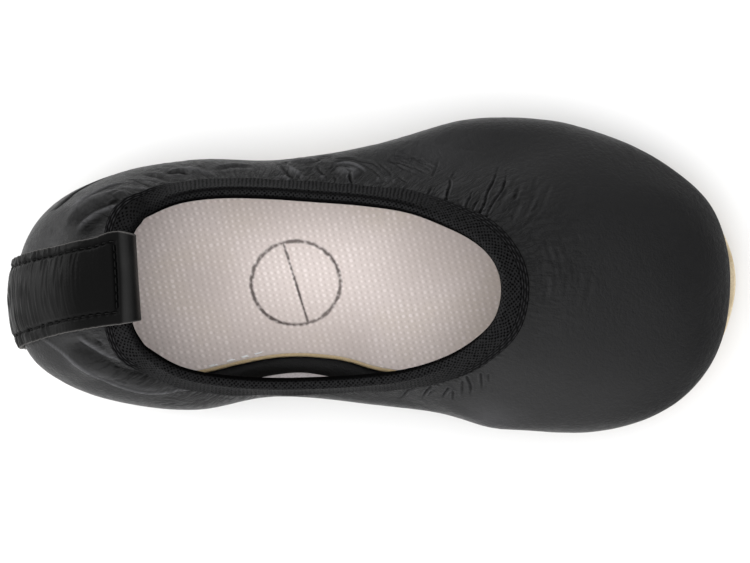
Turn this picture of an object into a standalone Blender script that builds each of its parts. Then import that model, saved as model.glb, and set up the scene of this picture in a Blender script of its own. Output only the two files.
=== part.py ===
"""A child's soft leather gymnastics slipper for the left foot, as five pieces.

X runs from heel to toe, Y to the lateral side of the foot and Z up. Sizes are in millimetres, and MM
turns them into metres. A turn goes round the shoe in degrees: 0 at the back of the heel, 90 at the
lateral side, 180 at the tip of the toe and 270 at the medial side.
"""

from collections import namedtuple
from functools import lru_cache

import bmesh
import bpy
import numpy as np

MM = 0.001

# Driving sizes
UPPER_LENGTH = 164.6
BALL_WIDTH = 72.0
INSTEP_HEIGHT = 39.5
HEEL_TO_MOUTH = 27.5
MOUTH_LENGTH = 83.3
WALL = 1.0
GAP = 0.3

# Sole: a thin sheet with a low arch and a sprung toe, flat on the floor at heel and forefoot
SOLE_THICKNESS = 2.2
SOLE_EDGE_ROUND = 0.5
ARCH_LIFT = 1.6
ARCH_MIDDLE_X = -13.0
ARCH_HALF_LENGTH = 25.0
TOE_SPRING = 5.0
SPRING_START_X = 54.0

# Insole: a plate on the upper's turned-in margin, with a filler inside that margin
INSOLE_THICKNESS = 2.0
MARGIN_WIDTH = 7.0

# Collar binding: an elastic tape folded over the leather's edge
TAPE_THICKNESS = 0.6
TAPE_WIDTH = 5.3
TAPE_FOLD = GAP + TAPE_THICKNESS

# Pull tab: a leather strip over the heel, folded over the binding
TAB_WIDTH = 20.5
TAB_SHIFT_TOP = 0.5
TAB_SHIFT_BOTTOM = -1.5
TAB_THICKNESS = 1.2
TAB_DOWN_BACK = 46.0
TAB_INNER_LEG = 11.0
TAB_CLEARS_TAPE = 9.0
TAB_MEETS_HEEL = 17.0

# How full the curves of the wall are, as shares of the distance that they cover
LOWER_ROUND = 0.55
RISE_SHARE = 0.52
REACH_SHARE = 0.38

# Steps of the meshes
TURNS_ROUND = 72
TURN_STEP = 0.5
RUN_STEP = 0.2
MARGIN_STEPS = 2
LOWER_STEPS = 4
UPPER_STEPS = 11
FINE_STEPS = (8, 24, 60)
TAPE_ROWS = 4
TAPE_FOLD_TURNS = (45, 90, 135)
TAB_COLUMNS = 8
TAB_ROWS = 16
TAB_FOLD_STEPS = 5
TAB_LEG_ROWS = 4
HEEL_TURNS = np.linspace(-45, 45, 31)
SMOOTH_ANGLE = np.radians(40)

# Finish of each piece: colour, and roughness
FINISHES = {
    "outsole": ((0.46, 0.34, 0.21), 0.75),
    "insole": ((0.62, 0.55, 0.53), 0.9),
    "upper": ((0.022, 0.022, 0.023), 0.45),
    "collar_binding": ((0.012, 0.012, 0.012), 0.8),
    "pull_tab": ((0.016, 0.016, 0.016), 0.5),
}

# Sections of the upper, one each 15 degrees of turn from heel to toe. The half widths of its widest line
# are in % of the ball width, and negative where the line is on the other side of the axis. Tuck is how
# far in from that line the leather turns under, belly the line's height over the sole, and rim how far
# the sole reaches out past the turn.
Section = namedtuple(
    "Section",
    "place lateral medial tuck_lateral tuck_medial belly_lateral belly_medial rim_lateral rim_medial",
)
SECTIONS = (
    Section("heel back", -7.4, 7.4, 6.0, 6.0, 13.0, 13.0, 1.2, 1.2),
    Section("heel turn", 11.8, 24.0, 5.5, 5.5, 13.0, 13.0, 1.2, 1.2),
    Section("heel side", 25.2, 34.4, 5.0, 5.0, 12.5, 12.5, 1.2, 1.2),
    Section("heel front", 33.1, 40.6, 4.5, 5.7, 12.0, 12.5, 1.2, 1.2),
    Section("rear waist", 36.9, 43.1, 4.0, 8.0, 12.0, 14.0, 1.2, 1.2),
    Section("waist", 36.9, 38.6, 4.0, 9.1, 12.0, 17.0, 1.2, 1.2),
    Section("front waist", 41.4, 41.2, 4.2, 8.4, 12.0, 15.0, 1.2, 1.2),
    Section("behind ball", 49.7, 45.2, 4.6, 6.2, 11.0, 12.0, 1.2, 1.2),
    Section("ball", 49.4, 50.4, 4.4, 4.6, 10.0, 10.5, 1.2, 1.2),
    Section("before ball", 42.4, 48.4, 3.8, 4.0, 9.0, 9.5, 1.2, 1.2),
    Section("toe side", 31.6, 39.5, 3.2, 3.2, 8.0, 8.5, 1.6, 1.4),
    Section("toe turn", 18.3, 24.2, 2.6, 2.6, 7.0, 7.5, 2.6, 2.9),
    Section("toe tip", -1.7, 1.7, 2.4, 2.4, 6.5, 6.5, 4.3, 4.3),
)

# Sections of the mouth, the finished edge of the collar, in the same turns along its own length. Half
# widths are in % of the ball width and heights in % of the instep height. Lean is the angle from upright
# at which the leather comes in to the edge.
Mouth = namedtuple("Mouth", "place lateral medial height_lateral height_medial lean_lateral lean_medial")
MOUTHS = (
    Mouth("heel back", -1.4, 1.4, 96.0, 96.0, 74.0, 74.0),
    Mouth("heel corner", 15.0, 18.5, 94.5, 94.5, 68.0, 58.0),
    Mouth("heel side", 18.9, 23.8, 91.0, 90.5, 54.0, 38.0),
    Mouth("heel front", 22.4, 28.8, 87.0, 86.5, 30.0, 26.0),
    Mouth("rear waist", 23.8, 31.1, 84.0, 83.0, 20.0, 17.0),
    Mouth("waist", 23.6, 32.1, 82.5, 81.5, 15.0, 12.0),
    Mouth("front waist", 22.6, 31.9, 83.0, 82.0, 17.0, 11.0),
    Mouth("instep", 21.4, 31.0, 85.5, 84.5, 19.0, 12.0),
    Mouth("instep front", 19.2, 29.2, 89.0, 88.5, 30.0, 22.0),
    Mouth("behind throat", 14.7, 25.3, 93.0, 92.5, 50.0, 40.0),
    Mouth("throat side", 9.7, 19.7, 96.5, 96.5, 63.0, 56.0),
    Mouth("throat turn", 3.3, 13.3, 99.0, 99.0, 71.0, 68.0),
    Mouth("throat", -4.7, 4.7, 100.0, 100.0, 74.0, 74.0),
)

HEEL_X = -82.0
TOE_X = HEEL_X + UPPER_LENGTH
MOUTH_HEEL_X = HEEL_X + HEEL_TO_MOUTH
SOLE_TIP_X = TOE_X + SECTIONS[-1].rim_lateral - SECTIONS[-1].tuck_lateral
UP = np.array((0.0, 0.0, 1.0))


def ring(rows, lateral, medial, scale=1.0, mirror=1.0):
    """Values round the shoe from two columns of a table: heel, lateral side, toe, medial side."""
    out = [scale * getattr(row, lateral) for row in rows]
    back = [mirror * scale * getattr(row, medial) for row in rows[-2:0:-1]]
    return np.array(out + back)


def read(values, turns):
    """A smooth reading, at any turns, of values evenly spaced round the shoe."""
    place = np.asarray(turns, dtype=float) % 360.0 * len(values) / 360.0
    first = np.floor(place).astype(int)
    t = place - first
    before, start, end, after = (values[(first + k) % len(values)] for k in (-1, 0, 1, 2))
    bend = 2 * before - 5 * start + 4 * end - after
    twist = 3 * (start - end) + after - before
    return start + 0.5 * t * (end - before + t * (bend + t * twist))


WIDEST_Y = ring(SECTIONS, "lateral", "medial", BALL_WIDTH / 100, -1.0)
TUCK = ring(SECTIONS, "tuck_lateral", "tuck_medial")
BELLY = ring(SECTIONS, "belly_lateral", "belly_medial")
RIM = ring(SECTIONS, "rim_lateral", "rim_medial")
MOUTH_Y = ring(MOUTHS, "lateral", "medial", BALL_WIDTH / 100, -1.0)
MOUTH_Z = ring(MOUTHS, "height_lateral", "height_medial", INSTEP_HEIGHT / 100)
LEAN = ring(MOUTHS, "lean_lateral", "lean_medial")


def widest_line(turns):
    """Plan of the upper's widest line."""
    x = HEEL_X + UPPER_LENGTH * (1 - np.cos(np.radians(turns))) / 2
    return np.stack((x, read(WIDEST_Y, turns)), axis=-1)


def mouth_line(turns):
    """Plan of the collar's finished edge."""
    x = MOUTH_HEEL_X + MOUTH_LENGTH * (1 - np.cos(np.radians(turns))) / 2
    return np.stack((x, read(MOUTH_Y, turns)), axis=-1)


def inward(line, turns):
    """Unit vectors in plan, square to a line round the shoe and pointing into it."""
    along = line(turns + TURN_STEP) - line(turns - TURN_STEP)
    side = np.stack((along[..., 1], -along[..., 0]), axis=-1)
    return side / np.linalg.norm(side, axis=-1, keepdims=True)


def sole_bottom(x):
    """Height of the sole's underside: flat, lifted at the arch and sprung at the toe."""
    arch = np.cos(np.pi / 2 * np.clip((x - ARCH_MIDDLE_X) / ARCH_HALF_LENGTH, -1, 1)) ** 2
    spring = np.clip((x - SPRING_START_X) / (SOLE_TIP_X - SPRING_START_X), 0, None) ** 2
    return ARCH_LIFT * arch + TOE_SPRING * spring


def over_sole(plan, height):
    """Points over the sole: a plan line with a height added to the sole's upper face."""
    z = sole_bottom(plan[..., 0]) + SOLE_THICKNESS + height
    return np.concatenate((plan, z[..., None]), axis=-1)


def turned_under(turns, inset=0.0):
    """Plan of the line where the leather turns under, moved in by an inset."""
    tuck = read(TUCK, turns) + inset
    return widest_line(turns) + inward(widest_line, turns) * tuck[..., None]


def bezier(p0, p1, p2, p3, steps):
    """Points along a curve for every turn, as rings after its first."""
    shares = np.linspace(0, 1, steps + 1)[1:]
    return [
        (1 - t) ** 3 * p0 + 3 * t * (1 - t) ** 2 * p1 + 3 * t * t * (1 - t) * p2 + t ** 3 * p3
        for t in shares
    ]


def wall_rings(turns, margin_steps=MARGIN_STEPS, lower_steps=LOWER_STEPS, upper_steps=UPPER_STEPS):
    """The upper's outer surface as rings, from its margin under the foot up to the collar's edge."""
    turns = np.asarray(turns, dtype=float)
    outward = -inward(widest_line, turns)
    tuck = read(TUCK, turns)[..., None]
    insets = np.linspace(MARGIN_WIDTH, 0, margin_steps + 1)
    rings = [over_sole(turned_under(turns, inset), GAP) for inset in insets]

    turn_under = rings[-1]
    widest = over_sole(widest_line(turns), read(BELLY, turns))
    leaving = over_sole(turn_under[..., :2] + outward * tuck * LOWER_ROUND, GAP)
    depth = (widest - turn_under)[..., 2:]
    rings += bezier(turn_under, leaving, widest - UP * depth * LOWER_ROUND, widest, lower_steps)

    mouth_in = inward(mouth_line, turns)
    lean = np.radians(read(LEAN, turns))[..., None]
    half_wall = WALL / 2
    behind = half_wall * np.cos(lean)
    behind += np.hypot((half_wall + TAPE_FOLD) * np.cos(lean), TAPE_FOLD * np.sin(lean))
    edge_plan = mouth_line(turns) - mouth_in * behind
    edge = np.concatenate((edge_plan, read(MOUTH_Z, turns)[..., None]), axis=-1)
    arriving = np.concatenate((mouth_in * np.sin(lean), np.cos(lean)), axis=-1)
    climb = (edge - widest)[..., 2:]
    span = np.linalg.norm(edge - widest, axis=-1, keepdims=True)
    rings += bezier(widest, widest + UP * climb * RISE_SHARE, edge - arriving * span * REACH_SHARE,
                    edge, upper_steps)
    return np.array(rings)


@lru_cache(maxsize=None)
def wall_path(turn):
    """The wall's outline at one turn, from the collar's edge down, and the run to each of its points."""
    path = wall_rings(turn, *FINE_STEPS)[::-1]
    runs = np.concatenate(([0], np.cumsum(np.linalg.norm(np.diff(path, axis=0), axis=1))))
    return path, runs


def wall_point(turn, run):
    """A point of the upper's outer surface, at a run along the leather down from the collar's edge."""
    path, runs = wall_path(turn)
    return np.array([np.interp(run, runs, path[:, axis]) for axis in range(3)])


def wall_offset(turn, run, offset):
    """A point off the upper's outer surface. A negative run goes past the collar's edge."""
    kept = max(run, 0.0)
    here = wall_point(turn, kept)
    up_run = wall_point(turn, max(kept - RUN_STEP, 0.0)) - wall_point(turn, kept + RUN_STEP)
    up_run /= np.linalg.norm(up_run)
    round_shoe = wall_point(turn + TURN_STEP, kept) - wall_point(turn - TURN_STEP, kept)
    normal = np.cross(up_run, round_shoe)
    normal /= np.linalg.norm(normal)
    return here + normal * offset + up_run * (kept - run)


def skin(bm, rings, close_rings=False):
    """Quads between successive rings of points, each ring closed on itself."""
    rows = [[bm.verts.new(point * MM) for point in points] for points in rings]
    pairs = list(zip(rows, rows[1:]))
    if close_rings:
        pairs.append((rows[-1], rows[0]))
    for low, high in pairs:
        for i in range(len(low)):
            j = (i + 1) % len(low)
            bm.faces.new((low[i], high[i], high[j], low[j]))
    return rows


def cap(bm, row):
    """Closes a ring with cross strips between its lateral and medial sides."""
    half = len(row) // 2
    for i in range(half):
        corners = (row[i], row[i + 1], row[-(i + 1)], row[-i])
        bm.faces.new(list(dict.fromkeys(corners)))


def add_object(name, bm, collection, root):
    """Turns a mesh under construction into a named object with its own material."""
    bmesh.ops.recalc_face_normals(bm, faces=bm.faces)
    mesh = bpy.data.meshes.new(name)
    bm.to_mesh(mesh)
    bm.free()
    mesh.shade_smooth()
    mesh.set_sharp_from_angle(angle=SMOOTH_ANGLE)

    color, roughness = FINISHES[name]
    material = bpy.data.materials.new(name + "_finish")
    material.use_nodes = True
    shader = material.node_tree.nodes["Principled BSDF"]
    shader.inputs["Base Color"].default_value = (*color, 1.0)
    shader.inputs["Roughness"].default_value = roughness
    shader.inputs["Metallic"].default_value = 0.0
    mesh.materials.append(material)

    piece = bpy.data.objects.new(name, mesh)
    piece.parent = root
    collection.objects.link(piece)
    return piece


def add_thickness(piece, thickness, offset):
    """Gives an open surface its thickness: offset -1 is behind its faces, 1 in front of them."""
    shell = piece.modifiers.new("Thickness", "SOLIDIFY")
    shell.thickness = thickness * MM
    shell.offset = offset
    shell.use_even_offset = True
    shell.use_quality_normals = True


def make_outsole(turns, collection, root):
    """The thin tan sole, with its edges rounded and its tip reaching out past the toe."""
    rim = read(RIM, turns)
    heights = (
        (SOLE_EDGE_ROUND, -SOLE_THICKNESS),
        (0.0, SOLE_EDGE_ROUND - SOLE_THICKNESS),
        (0.0, -SOLE_EDGE_ROUND),
        (SOLE_EDGE_ROUND, 0.0),
    )
    bm = bmesh.new()
    rows = skin(bm, [over_sole(turned_under(turns, inset - rim), height) for inset, height in heights])
    cap(bm, rows[0])
    cap(bm, rows[-1])
    return add_object("outsole", bm, collection, root)


def make_insole(turns, collection, root):
    """The textile-faced insole on the leather's margin, and its filler down to the sole."""
    under = WALL + 2 * GAP
    steps = (
        (MARGIN_WIDTH + GAP, GAP),
        (MARGIN_WIDTH + GAP, under),
        (GAP, under),
        (GAP, under + INSOLE_THICKNESS),
    )
    bm = bmesh.new()
    rows = skin(bm, [over_sole(turned_under(turns, inset), height) for inset, height in steps])
    cap(bm, rows[0])
    cap(bm, rows[-1])
    return add_object("insole", bm, collection, root)


def make_upper(turns, collection, root):
    """The one leather shell, open at the collar and underneath."""
    bm = bmesh.new()
    skin(bm, wall_rings(turns))
    piece = add_object("upper", bm, collection, root)
    add_thickness(piece, WALL, -1)
    return piece


def make_collar_binding(turns, collection, root):
    """The elastic tape, in a U over the leather's edge all the way round the mouth."""
    runs = np.linspace(TAPE_WIDTH, 0, TAPE_ROWS)
    fold = np.radians(TAPE_FOLD_TURNS)
    middle = -WALL / 2
    section = [(run, TAPE_FOLD) for run in runs]
    section += [(-TAPE_FOLD * np.sin(a), middle + (TAPE_FOLD - middle) * np.cos(a)) for a in fold]
    section += [(run, -WALL - TAPE_FOLD) for run in runs[::-1]]
    section += [(run, -WALL - GAP) for run in (TAPE_WIDTH, TAPE_WIDTH / 2, 0.0)]
    section += [(-GAP, middle)]
    section += [(run, GAP) for run in (0.0, TAPE_WIDTH / 2, TAPE_WIDTH)]
    bm = bmesh.new()
    rings = [[wall_offset(turn, run, offset) for turn in turns] for run, offset in section]
    skin(bm, np.array(rings), close_rings=True)
    return add_object("collar_binding", bm, collection, root)


def tab_turn(run, across, sideways):
    """The turn at which the wall, at a run, is a distance across from the middle of the heel."""
    points = np.array([wall_point(turn, run) for turn in HEEL_TURNS])
    middle = wall_point(0.0, run)
    return np.interp(across, (points - middle) @ sideways, HEEL_TURNS)


def make_pull_tab(collection, root):
    """The strip from low on the heel, over the binding and down inside it."""
    over_tape = TAPE_FOLD + GAP
    middle = -WALL / 2
    path = []
    for run in np.linspace(TAB_DOWN_BACK, 0, TAB_ROWS):
        share = np.clip((TAB_MEETS_HEEL - run) / (TAB_MEETS_HEEL - TAB_CLEARS_TAPE), 0, 1)
        path.append((run, GAP + (over_tape - GAP) * share * share * (3 - 2 * share)))
    for angle in np.linspace(0, np.pi, TAB_FOLD_STEPS + 1)[1:]:
        path.append((-over_tape * np.sin(angle), middle + (over_tape - middle) * np.cos(angle)))
    for run in np.linspace(0, TAB_INNER_LEG, TAB_LEG_ROWS)[1:]:
        path.append((run, -WALL - over_tape))

    front = wall_point(0.0, 0.0)
    back = wall_point(0.0, TAB_DOWN_BACK)
    length_way = np.array((front[0] - back[0], front[1] - back[1], 0.0))
    sideways = np.cross(UP, length_way / np.linalg.norm(length_way))
    places = np.linspace(-TAB_WIDTH / 2, TAB_WIDTH / 2, TAB_COLUMNS + 1)

    bm = bmesh.new()
    rows = []
    for run, offset in path:
        on_wall = max(run, 0.0)
        shift = TAB_SHIFT_TOP + (TAB_SHIFT_BOTTOM - TAB_SHIFT_TOP) * on_wall / TAB_DOWN_BACK
        turns = [tab_turn(on_wall, place + shift, sideways) for place in places]
        rows.append([bm.verts.new(wall_offset(turn, run, offset) * MM) for turn in turns])
    for low, high in zip(rows, rows[1:]):
        for i in range(TAB_COLUMNS):
            bm.faces.new((low[i], low[i + 1], high[i + 1], high[i]))
    piece = add_object("pull_tab", bm, collection, root)
    add_thickness(piece, TAB_THICKNESS, 1)
    return piece


def stand_on_origin(root, pieces):
    """Moves the shoe so that the middle of its box is over the origin. Its sole is at Z 0 already."""
    bpy.context.view_layer.update()
    graph = bpy.context.evaluated_depsgraph_get()
    corners = np.array([corner for piece in pieces for corner in piece.evaluated_get(graph).bound_box])
    middle = (corners.min(axis=0) + corners.max(axis=0)) / 2
    root.location = (-middle[0], -middle[1], 0.0)


def main():
    for thing in list(bpy.data.objects):
        bpy.data.objects.remove(thing, do_unlink=True)
    collection = bpy.data.collections.new("gymnastics_slipper")
    bpy.context.scene.collection.children.link(collection)
    root = bpy.data.objects.new("slipper_root", None)
    collection.objects.link(root)

    turns = np.arange(TURNS_ROUND) * 360.0 / TURNS_ROUND
    pieces = [
        make_outsole(turns, collection, root),
        make_insole(turns, collection, root),
        make_upper(turns, collection, root),
        make_collar_binding(turns, collection, root),
        make_pull_tab(collection, root),
    ]
    stand_on_origin(root, pieces)


main()
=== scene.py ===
import math
from functools import partial
import bpy
import numpy as np
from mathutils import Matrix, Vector, noise
from mathutils.kdtree import KDTree


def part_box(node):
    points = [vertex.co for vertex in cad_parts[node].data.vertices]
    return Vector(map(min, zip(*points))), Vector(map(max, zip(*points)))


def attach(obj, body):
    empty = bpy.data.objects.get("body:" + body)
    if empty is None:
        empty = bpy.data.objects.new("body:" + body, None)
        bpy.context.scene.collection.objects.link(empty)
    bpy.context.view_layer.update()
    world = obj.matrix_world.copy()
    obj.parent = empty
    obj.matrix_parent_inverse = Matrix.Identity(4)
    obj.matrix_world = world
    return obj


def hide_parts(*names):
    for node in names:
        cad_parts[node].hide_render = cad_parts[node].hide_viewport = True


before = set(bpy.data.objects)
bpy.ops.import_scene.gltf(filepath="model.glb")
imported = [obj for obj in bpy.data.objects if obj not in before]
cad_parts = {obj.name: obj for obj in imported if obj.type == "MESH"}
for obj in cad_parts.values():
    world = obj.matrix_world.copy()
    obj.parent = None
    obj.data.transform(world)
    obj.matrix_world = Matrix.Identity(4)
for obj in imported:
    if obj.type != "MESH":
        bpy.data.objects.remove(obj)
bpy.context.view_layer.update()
print("frame loaded:", ", ".join(sorted(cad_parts)))

mm = 0.001

# The last in mm, as the solids have it: X heel to toe, Y lateral, Z up. A turn goes round the shoe in
# degrees: 0 at the heel's back, 90 at the lateral side, 180 at the toe's tip, 270 at the medial side.
last = {
    "upperLength": 164.6,
    "ballWidth": 72.0,
    "instepHeight": 39.5,
    "heelX": -82.0,
    "heelToMouth": 27.5,
    "mouthLength": 83.3,
    "wall": 1.0,
    "gap": 0.3,
    "soleThickness": 2.2,
    "archLift": 1.6,
    "archMiddleX": -13.0,
    "archHalfLength": 25.0,
    "toeSpring": 5.0,
    "springStartX": 54.0,
    "soleTipX": 84.5,
    "marginWidth": 7.0,
    "tapeFold": 0.9,  # how far the binding stands off the leather
    "lowerRound": 0.55,
    "riseShare": 0.52,
    "reachShare": 0.38,
    "turnCount": 900,
    "pathSteps": (4, 80, 240),  # margin, turn under to widest line, widest line to collar
    "runStep": 0.25,
    "runDepth": 60.0,
    "solidTurns": 72,  # the solids' own steps
    "solidSteps": (2, 4, 11),
}

# Widest line, a row each 15 degrees from heel to toe. Half widths in % of ball width, the rest in mm:
# lateral, medial, tuck lateral, tuck medial, belly lateral, belly medial, rim lateral, rim medial
widestRows = (
    (-7.4, 7.4, 6.0, 6.0, 13.0, 13.0, 1.2, 1.2),  # heel back
    (11.8, 24.0, 5.5, 5.5, 13.0, 13.0, 1.2, 1.2),  # heel turn
    (25.2, 34.4, 5.0, 5.0, 12.5, 12.5, 1.2, 1.2),  # heel side
    (33.1, 40.6, 4.5, 5.7, 12.0, 12.5, 1.2, 1.2),  # heel front
    (36.9, 43.1, 4.0, 8.0, 12.0, 14.0, 1.2, 1.2),  # rear waist
    (36.9, 38.6, 4.0, 9.1, 12.0, 17.0, 1.2, 1.2),  # waist
    (41.4, 41.2, 4.2, 8.4, 12.0, 15.0, 1.2, 1.2),  # front waist
    (49.7, 45.2, 4.6, 6.2, 11.0, 12.0, 1.2, 1.2),  # behind ball
    (49.4, 50.4, 4.4, 4.6, 10.0, 10.5, 1.2, 1.2),  # ball
    (42.4, 48.4, 3.8, 4.0, 9.0, 9.5, 1.2, 1.2),  # before ball
    (31.6, 39.5, 3.2, 3.2, 8.0, 8.5, 1.6, 1.4),  # toe side
    (18.3, 24.2, 2.6, 2.6, 7.0, 7.5, 2.6, 2.9),  # toe turn
    (-1.7, 1.7, 2.4, 2.4, 6.5, 6.5, 4.3, 4.3),  # toe tip
)

# Mouth, in the same turns: half widths in % of ball width, heights in % of instep, lean in degrees:
# lateral, medial, height lateral, height medial, lean lateral, lean medial
mouthRows = (
    (-1.4, 1.4, 96.0, 96.0, 74.0, 74.0),  # heel back
    (15.0, 18.5, 94.5, 94.5, 68.0, 58.0),  # heel corner
    (18.9, 23.8, 91.0, 90.5, 54.0, 38.0),  # heel side
    (22.4, 28.8, 87.0, 86.5, 30.0, 26.0),  # heel front
    (23.8, 31.1, 84.0, 83.0, 20.0, 17.0),  # rear waist
    (23.6, 32.1, 82.5, 81.5, 15.0, 12.0),  # waist
    (22.6, 31.9, 83.0, 82.0, 17.0, 11.0),  # front waist
    (21.4, 31.0, 85.5, 84.5, 19.0, 12.0),  # instep
    (19.2, 29.2, 89.0, 88.5, 30.0, 22.0),  # instep front
    (14.7, 25.3, 93.0, 92.5, 50.0, 40.0),  # behind throat
    (9.7, 19.7, 96.5, 96.5, 63.0, 56.0),  # throat side
    (3.3, 13.3, 99.0, 99.0, 71.0, 68.0),  # throat turn
    (-4.7, 4.7, 100.0, 100.0, 74.0, 74.0),  # throat
)


def roundValues(rows, lateral, scale=1.0, mirror=1.0):
    out = [scale * row[lateral] for row in rows]
    back = [mirror * scale * row[lateral + 1] for row in rows[-2:0:-1]]
    return np.array(out + back)


widestY = roundValues(widestRows, 0, last["ballWidth"] / 100, -1.0)
tuckIn = roundValues(widestRows, 2)
bellyUp = roundValues(widestRows, 4)
rimOut = roundValues(widestRows, 6)
mouthY = roundValues(mouthRows, 0, last["ballWidth"] / 100, -1.0)
mouthZ = roundValues(mouthRows, 2, last["instepHeight"] / 100)
mouthLean = roundValues(mouthRows, 4)


def curvePoint(before, start, end, after, t):
    # A point of the smooth curve from start to end, at a share of the way
    bend = 2 * before - 5 * start + 4 * end - after
    twist = 3 * (start - end) + after - before
    return start + 0.5 * t * (end - before + t * (bend + t * twist))


def readRound(values, turns):
    place = np.asarray(turns, dtype=float) % 360.0 * len(values) / 360.0
    first = np.floor(place).astype(int)
    t = place - first
    return curvePoint(*(values[(first + k) % len(values)] for k in (-1, 0, 1, 2)), t)


def widestLine(turns):
    x = last["heelX"] + last["upperLength"] * (1 - np.cos(np.radians(turns))) / 2
    return np.stack((x, readRound(widestY, turns)), axis=-1)


def mouthLine(turns):
    x = last["heelX"] + last["heelToMouth"] + last["mouthLength"] * (1 - np.cos(np.radians(turns))) / 2
    return np.stack((x, readRound(mouthY, turns)), axis=-1)


def unit(vectors):
    return vectors / np.maximum(np.linalg.norm(vectors, axis=-1, keepdims=True), 1e-12)


def smooth(value, start, end):
    share = np.clip((value - start) / (end - start), 0, 1)
    return share * share * (3 - 2 * share)


def inward(line, turns):
    along = line(turns + 0.5) - line(turns - 0.5)
    return unit(np.stack((along[..., 1], -along[..., 0]), axis=-1))


def soleBottom(x):
    arch = np.cos(np.pi / 2 * np.clip((x - last["archMiddleX"]) / last["archHalfLength"], -1, 1)) ** 2
    reach = last["soleTipX"] - last["springStartX"]
    spring = np.clip((x - last["springStartX"]) / reach, 0, None) ** 2
    return last["archLift"] * arch + last["toeSpring"] * spring


def overSole(plan, height):
    z = soleBottom(plan[..., 0]) + last["soleThickness"] + height
    return np.concatenate((plan, z[..., None]), axis=-1)


def turnedUnder(turns, inset=0.0):
    tuck = readRound(tuckIn, turns) + inset
    return widestLine(turns) + inward(widestLine, turns) * tuck[..., None]


def bezier(p0, p1, p2, p3, steps):
    points = []
    for t in np.linspace(0, 1, steps + 1)[1:]:
        s = 1 - t
        points.append(s ** 3 * p0 + 3 * t * s ** 2 * p1 + 3 * t * t * s * p2 + t ** 3 * p3)
    return points


def wallRings(turns, marginSteps, lowerSteps, upperSteps):
    up = np.array((0.0, 0.0, 1.0))
    outward = -inward(widestLine, turns)
    tuck = readRound(tuckIn, turns)[..., None]
    insets = np.linspace(last["marginWidth"], 0, marginSteps + 1)
    rings = [overSole(turnedUnder(turns, inset), last["gap"]) for inset in insets]
    turnUnder = rings[-1]
    widest = overSole(widestLine(turns), readRound(bellyUp, turns))
    leaving = overSole(turnUnder[..., :2] + outward * tuck * last["lowerRound"], last["gap"])
    depth = (widest - turnUnder)[..., 2:]
    rings += bezier(turnUnder, leaving, widest - up * depth * last["lowerRound"], widest, lowerSteps)

    mouthIn = inward(mouthLine, turns)
    lean = np.radians(readRound(mouthLean, turns))[..., None]
    half = last["wall"] / 2
    fold = last["tapeFold"]
    behind = half * np.cos(lean) + np.hypot((half + fold) * np.cos(lean), fold * np.sin(lean))
    height = readRound(mouthZ, turns)[..., None]
    edge = np.concatenate((mouthLine(turns) - mouthIn * behind, height), axis=-1)
    arriving = np.concatenate((mouthIn * np.sin(lean), np.cos(lean)), axis=-1)
    climb = (edge - widest)[..., 2:]
    span = np.linalg.norm(edge - widest, axis=-1, keepdims=True)
    rising = widest + up * climb * last["riseShare"]
    reaching = edge - arriving * span * last["reachShare"]
    rings += bezier(widest, rising, reaching, edge, upperSteps)
    return np.array(rings)


# The solids stand with their box over the origin, so the last moves by the same small step
solidTurns = np.arange(last["solidTurns"]) * 360.0 / last["solidTurns"]
solidLow = wallRings(solidTurns, *last["solidSteps"]).min(axis=(0, 1))
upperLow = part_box("upper")[0]
stand = np.array((upperLow.x / mm - solidLow[0], upperLow.y / mm - solidLow[1], 0.0))

# A table of the outer wall: a row each step of run down the leather from the collar, a column each turn
wallTurns = np.arange(last["turnCount"]) * 360.0 / last["turnCount"]


def wallPaths(turns):
    # Lines down the leather from the collar, one at each turn, and the run at each of their points
    path = wallRings(turns, *last["pathSteps"])[::-1] + stand
    steps = np.linalg.norm(np.diff(path, axis=0), axis=-1)
    return path, np.concatenate((np.zeros((1, len(turns))), np.cumsum(steps, axis=0)))


def alongPaths(path, pathRuns, runs):
    # Points of those lines at a table of runs, a column for each line
    points = np.empty(runs.shape + (3,))
    for column in range(runs.shape[1]):
        for axis in range(3):
            points[:, column, axis] = np.interp(runs[:, column], pathRuns[:, column], path[:, column, axis])
    return points


def lengthsAlong(points):
    # How far each point of a line is along it
    return np.concatenate(([0], np.cumsum(np.linalg.norm(np.diff(points, axis=0), axis=1))))


def gridNormals(points):
    # Normals of a table of points that closes on itself from its last column to its first
    roundShoe = np.roll(points, -1, axis=1) - np.roll(points, 1, axis=1)
    return unit(np.cross(-np.gradient(points, axis=0), roundShoe))


tableRuns = np.arange(0.0, last["runDepth"] + last["runStep"], last["runStep"])
wallPath, pathRuns = wallPaths(wallTurns)
wallTable = alongPaths(wallPath, pathRuns, np.repeat(tableRuns[:, None], len(wallTurns), axis=1))
normalTable = gridNormals(wallTable)
collarAlong = lengthsAlong(wallTable[0])


def readTable(table, turns, runs):
    column = np.asarray(turns, dtype=float) % 360.0 * len(wallTurns) / 360.0
    row = np.clip(np.asarray(runs, dtype=float) / last["runStep"], 0, len(tableRuns) - 1.001)
    c0 = np.floor(column).astype(int)
    r0 = np.floor(row).astype(int)
    c = (column - c0)[..., None]
    r = (row - r0)[..., None]
    c0, c1 = c0 % len(wallTurns), (c0 + 1) % len(wallTurns)
    near = table[r0, c0] * (1 - c) + table[r0, c1] * c
    far = table[r0 + 1, c0] * (1 - c) + table[r0 + 1, c1] * c
    return near * (1 - r) + far * r


def offWall(turns, runs, offsets):
    # Points off the leather's outer face. A negative run goes past the collar's edge.
    turns, runs, offsets = np.broadcast_arrays(turns, runs, offsets)
    kept = np.maximum(runs, 0.0)
    here = readTable(wallTable, turns, kept)
    normal = unit(readTable(normalTable, turns, kept))
    upRun = unit(readTable(wallTable, turns, kept) - readTable(wallTable, turns, kept + last["runStep"]))
    return here + normal * offsets[..., None] + upRun * (kept - runs)[..., None]


print("last ready: wall %.0f to %.0f mm long" % (pathRuns[-1].min(), pathRuns[-1].max()))


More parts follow.
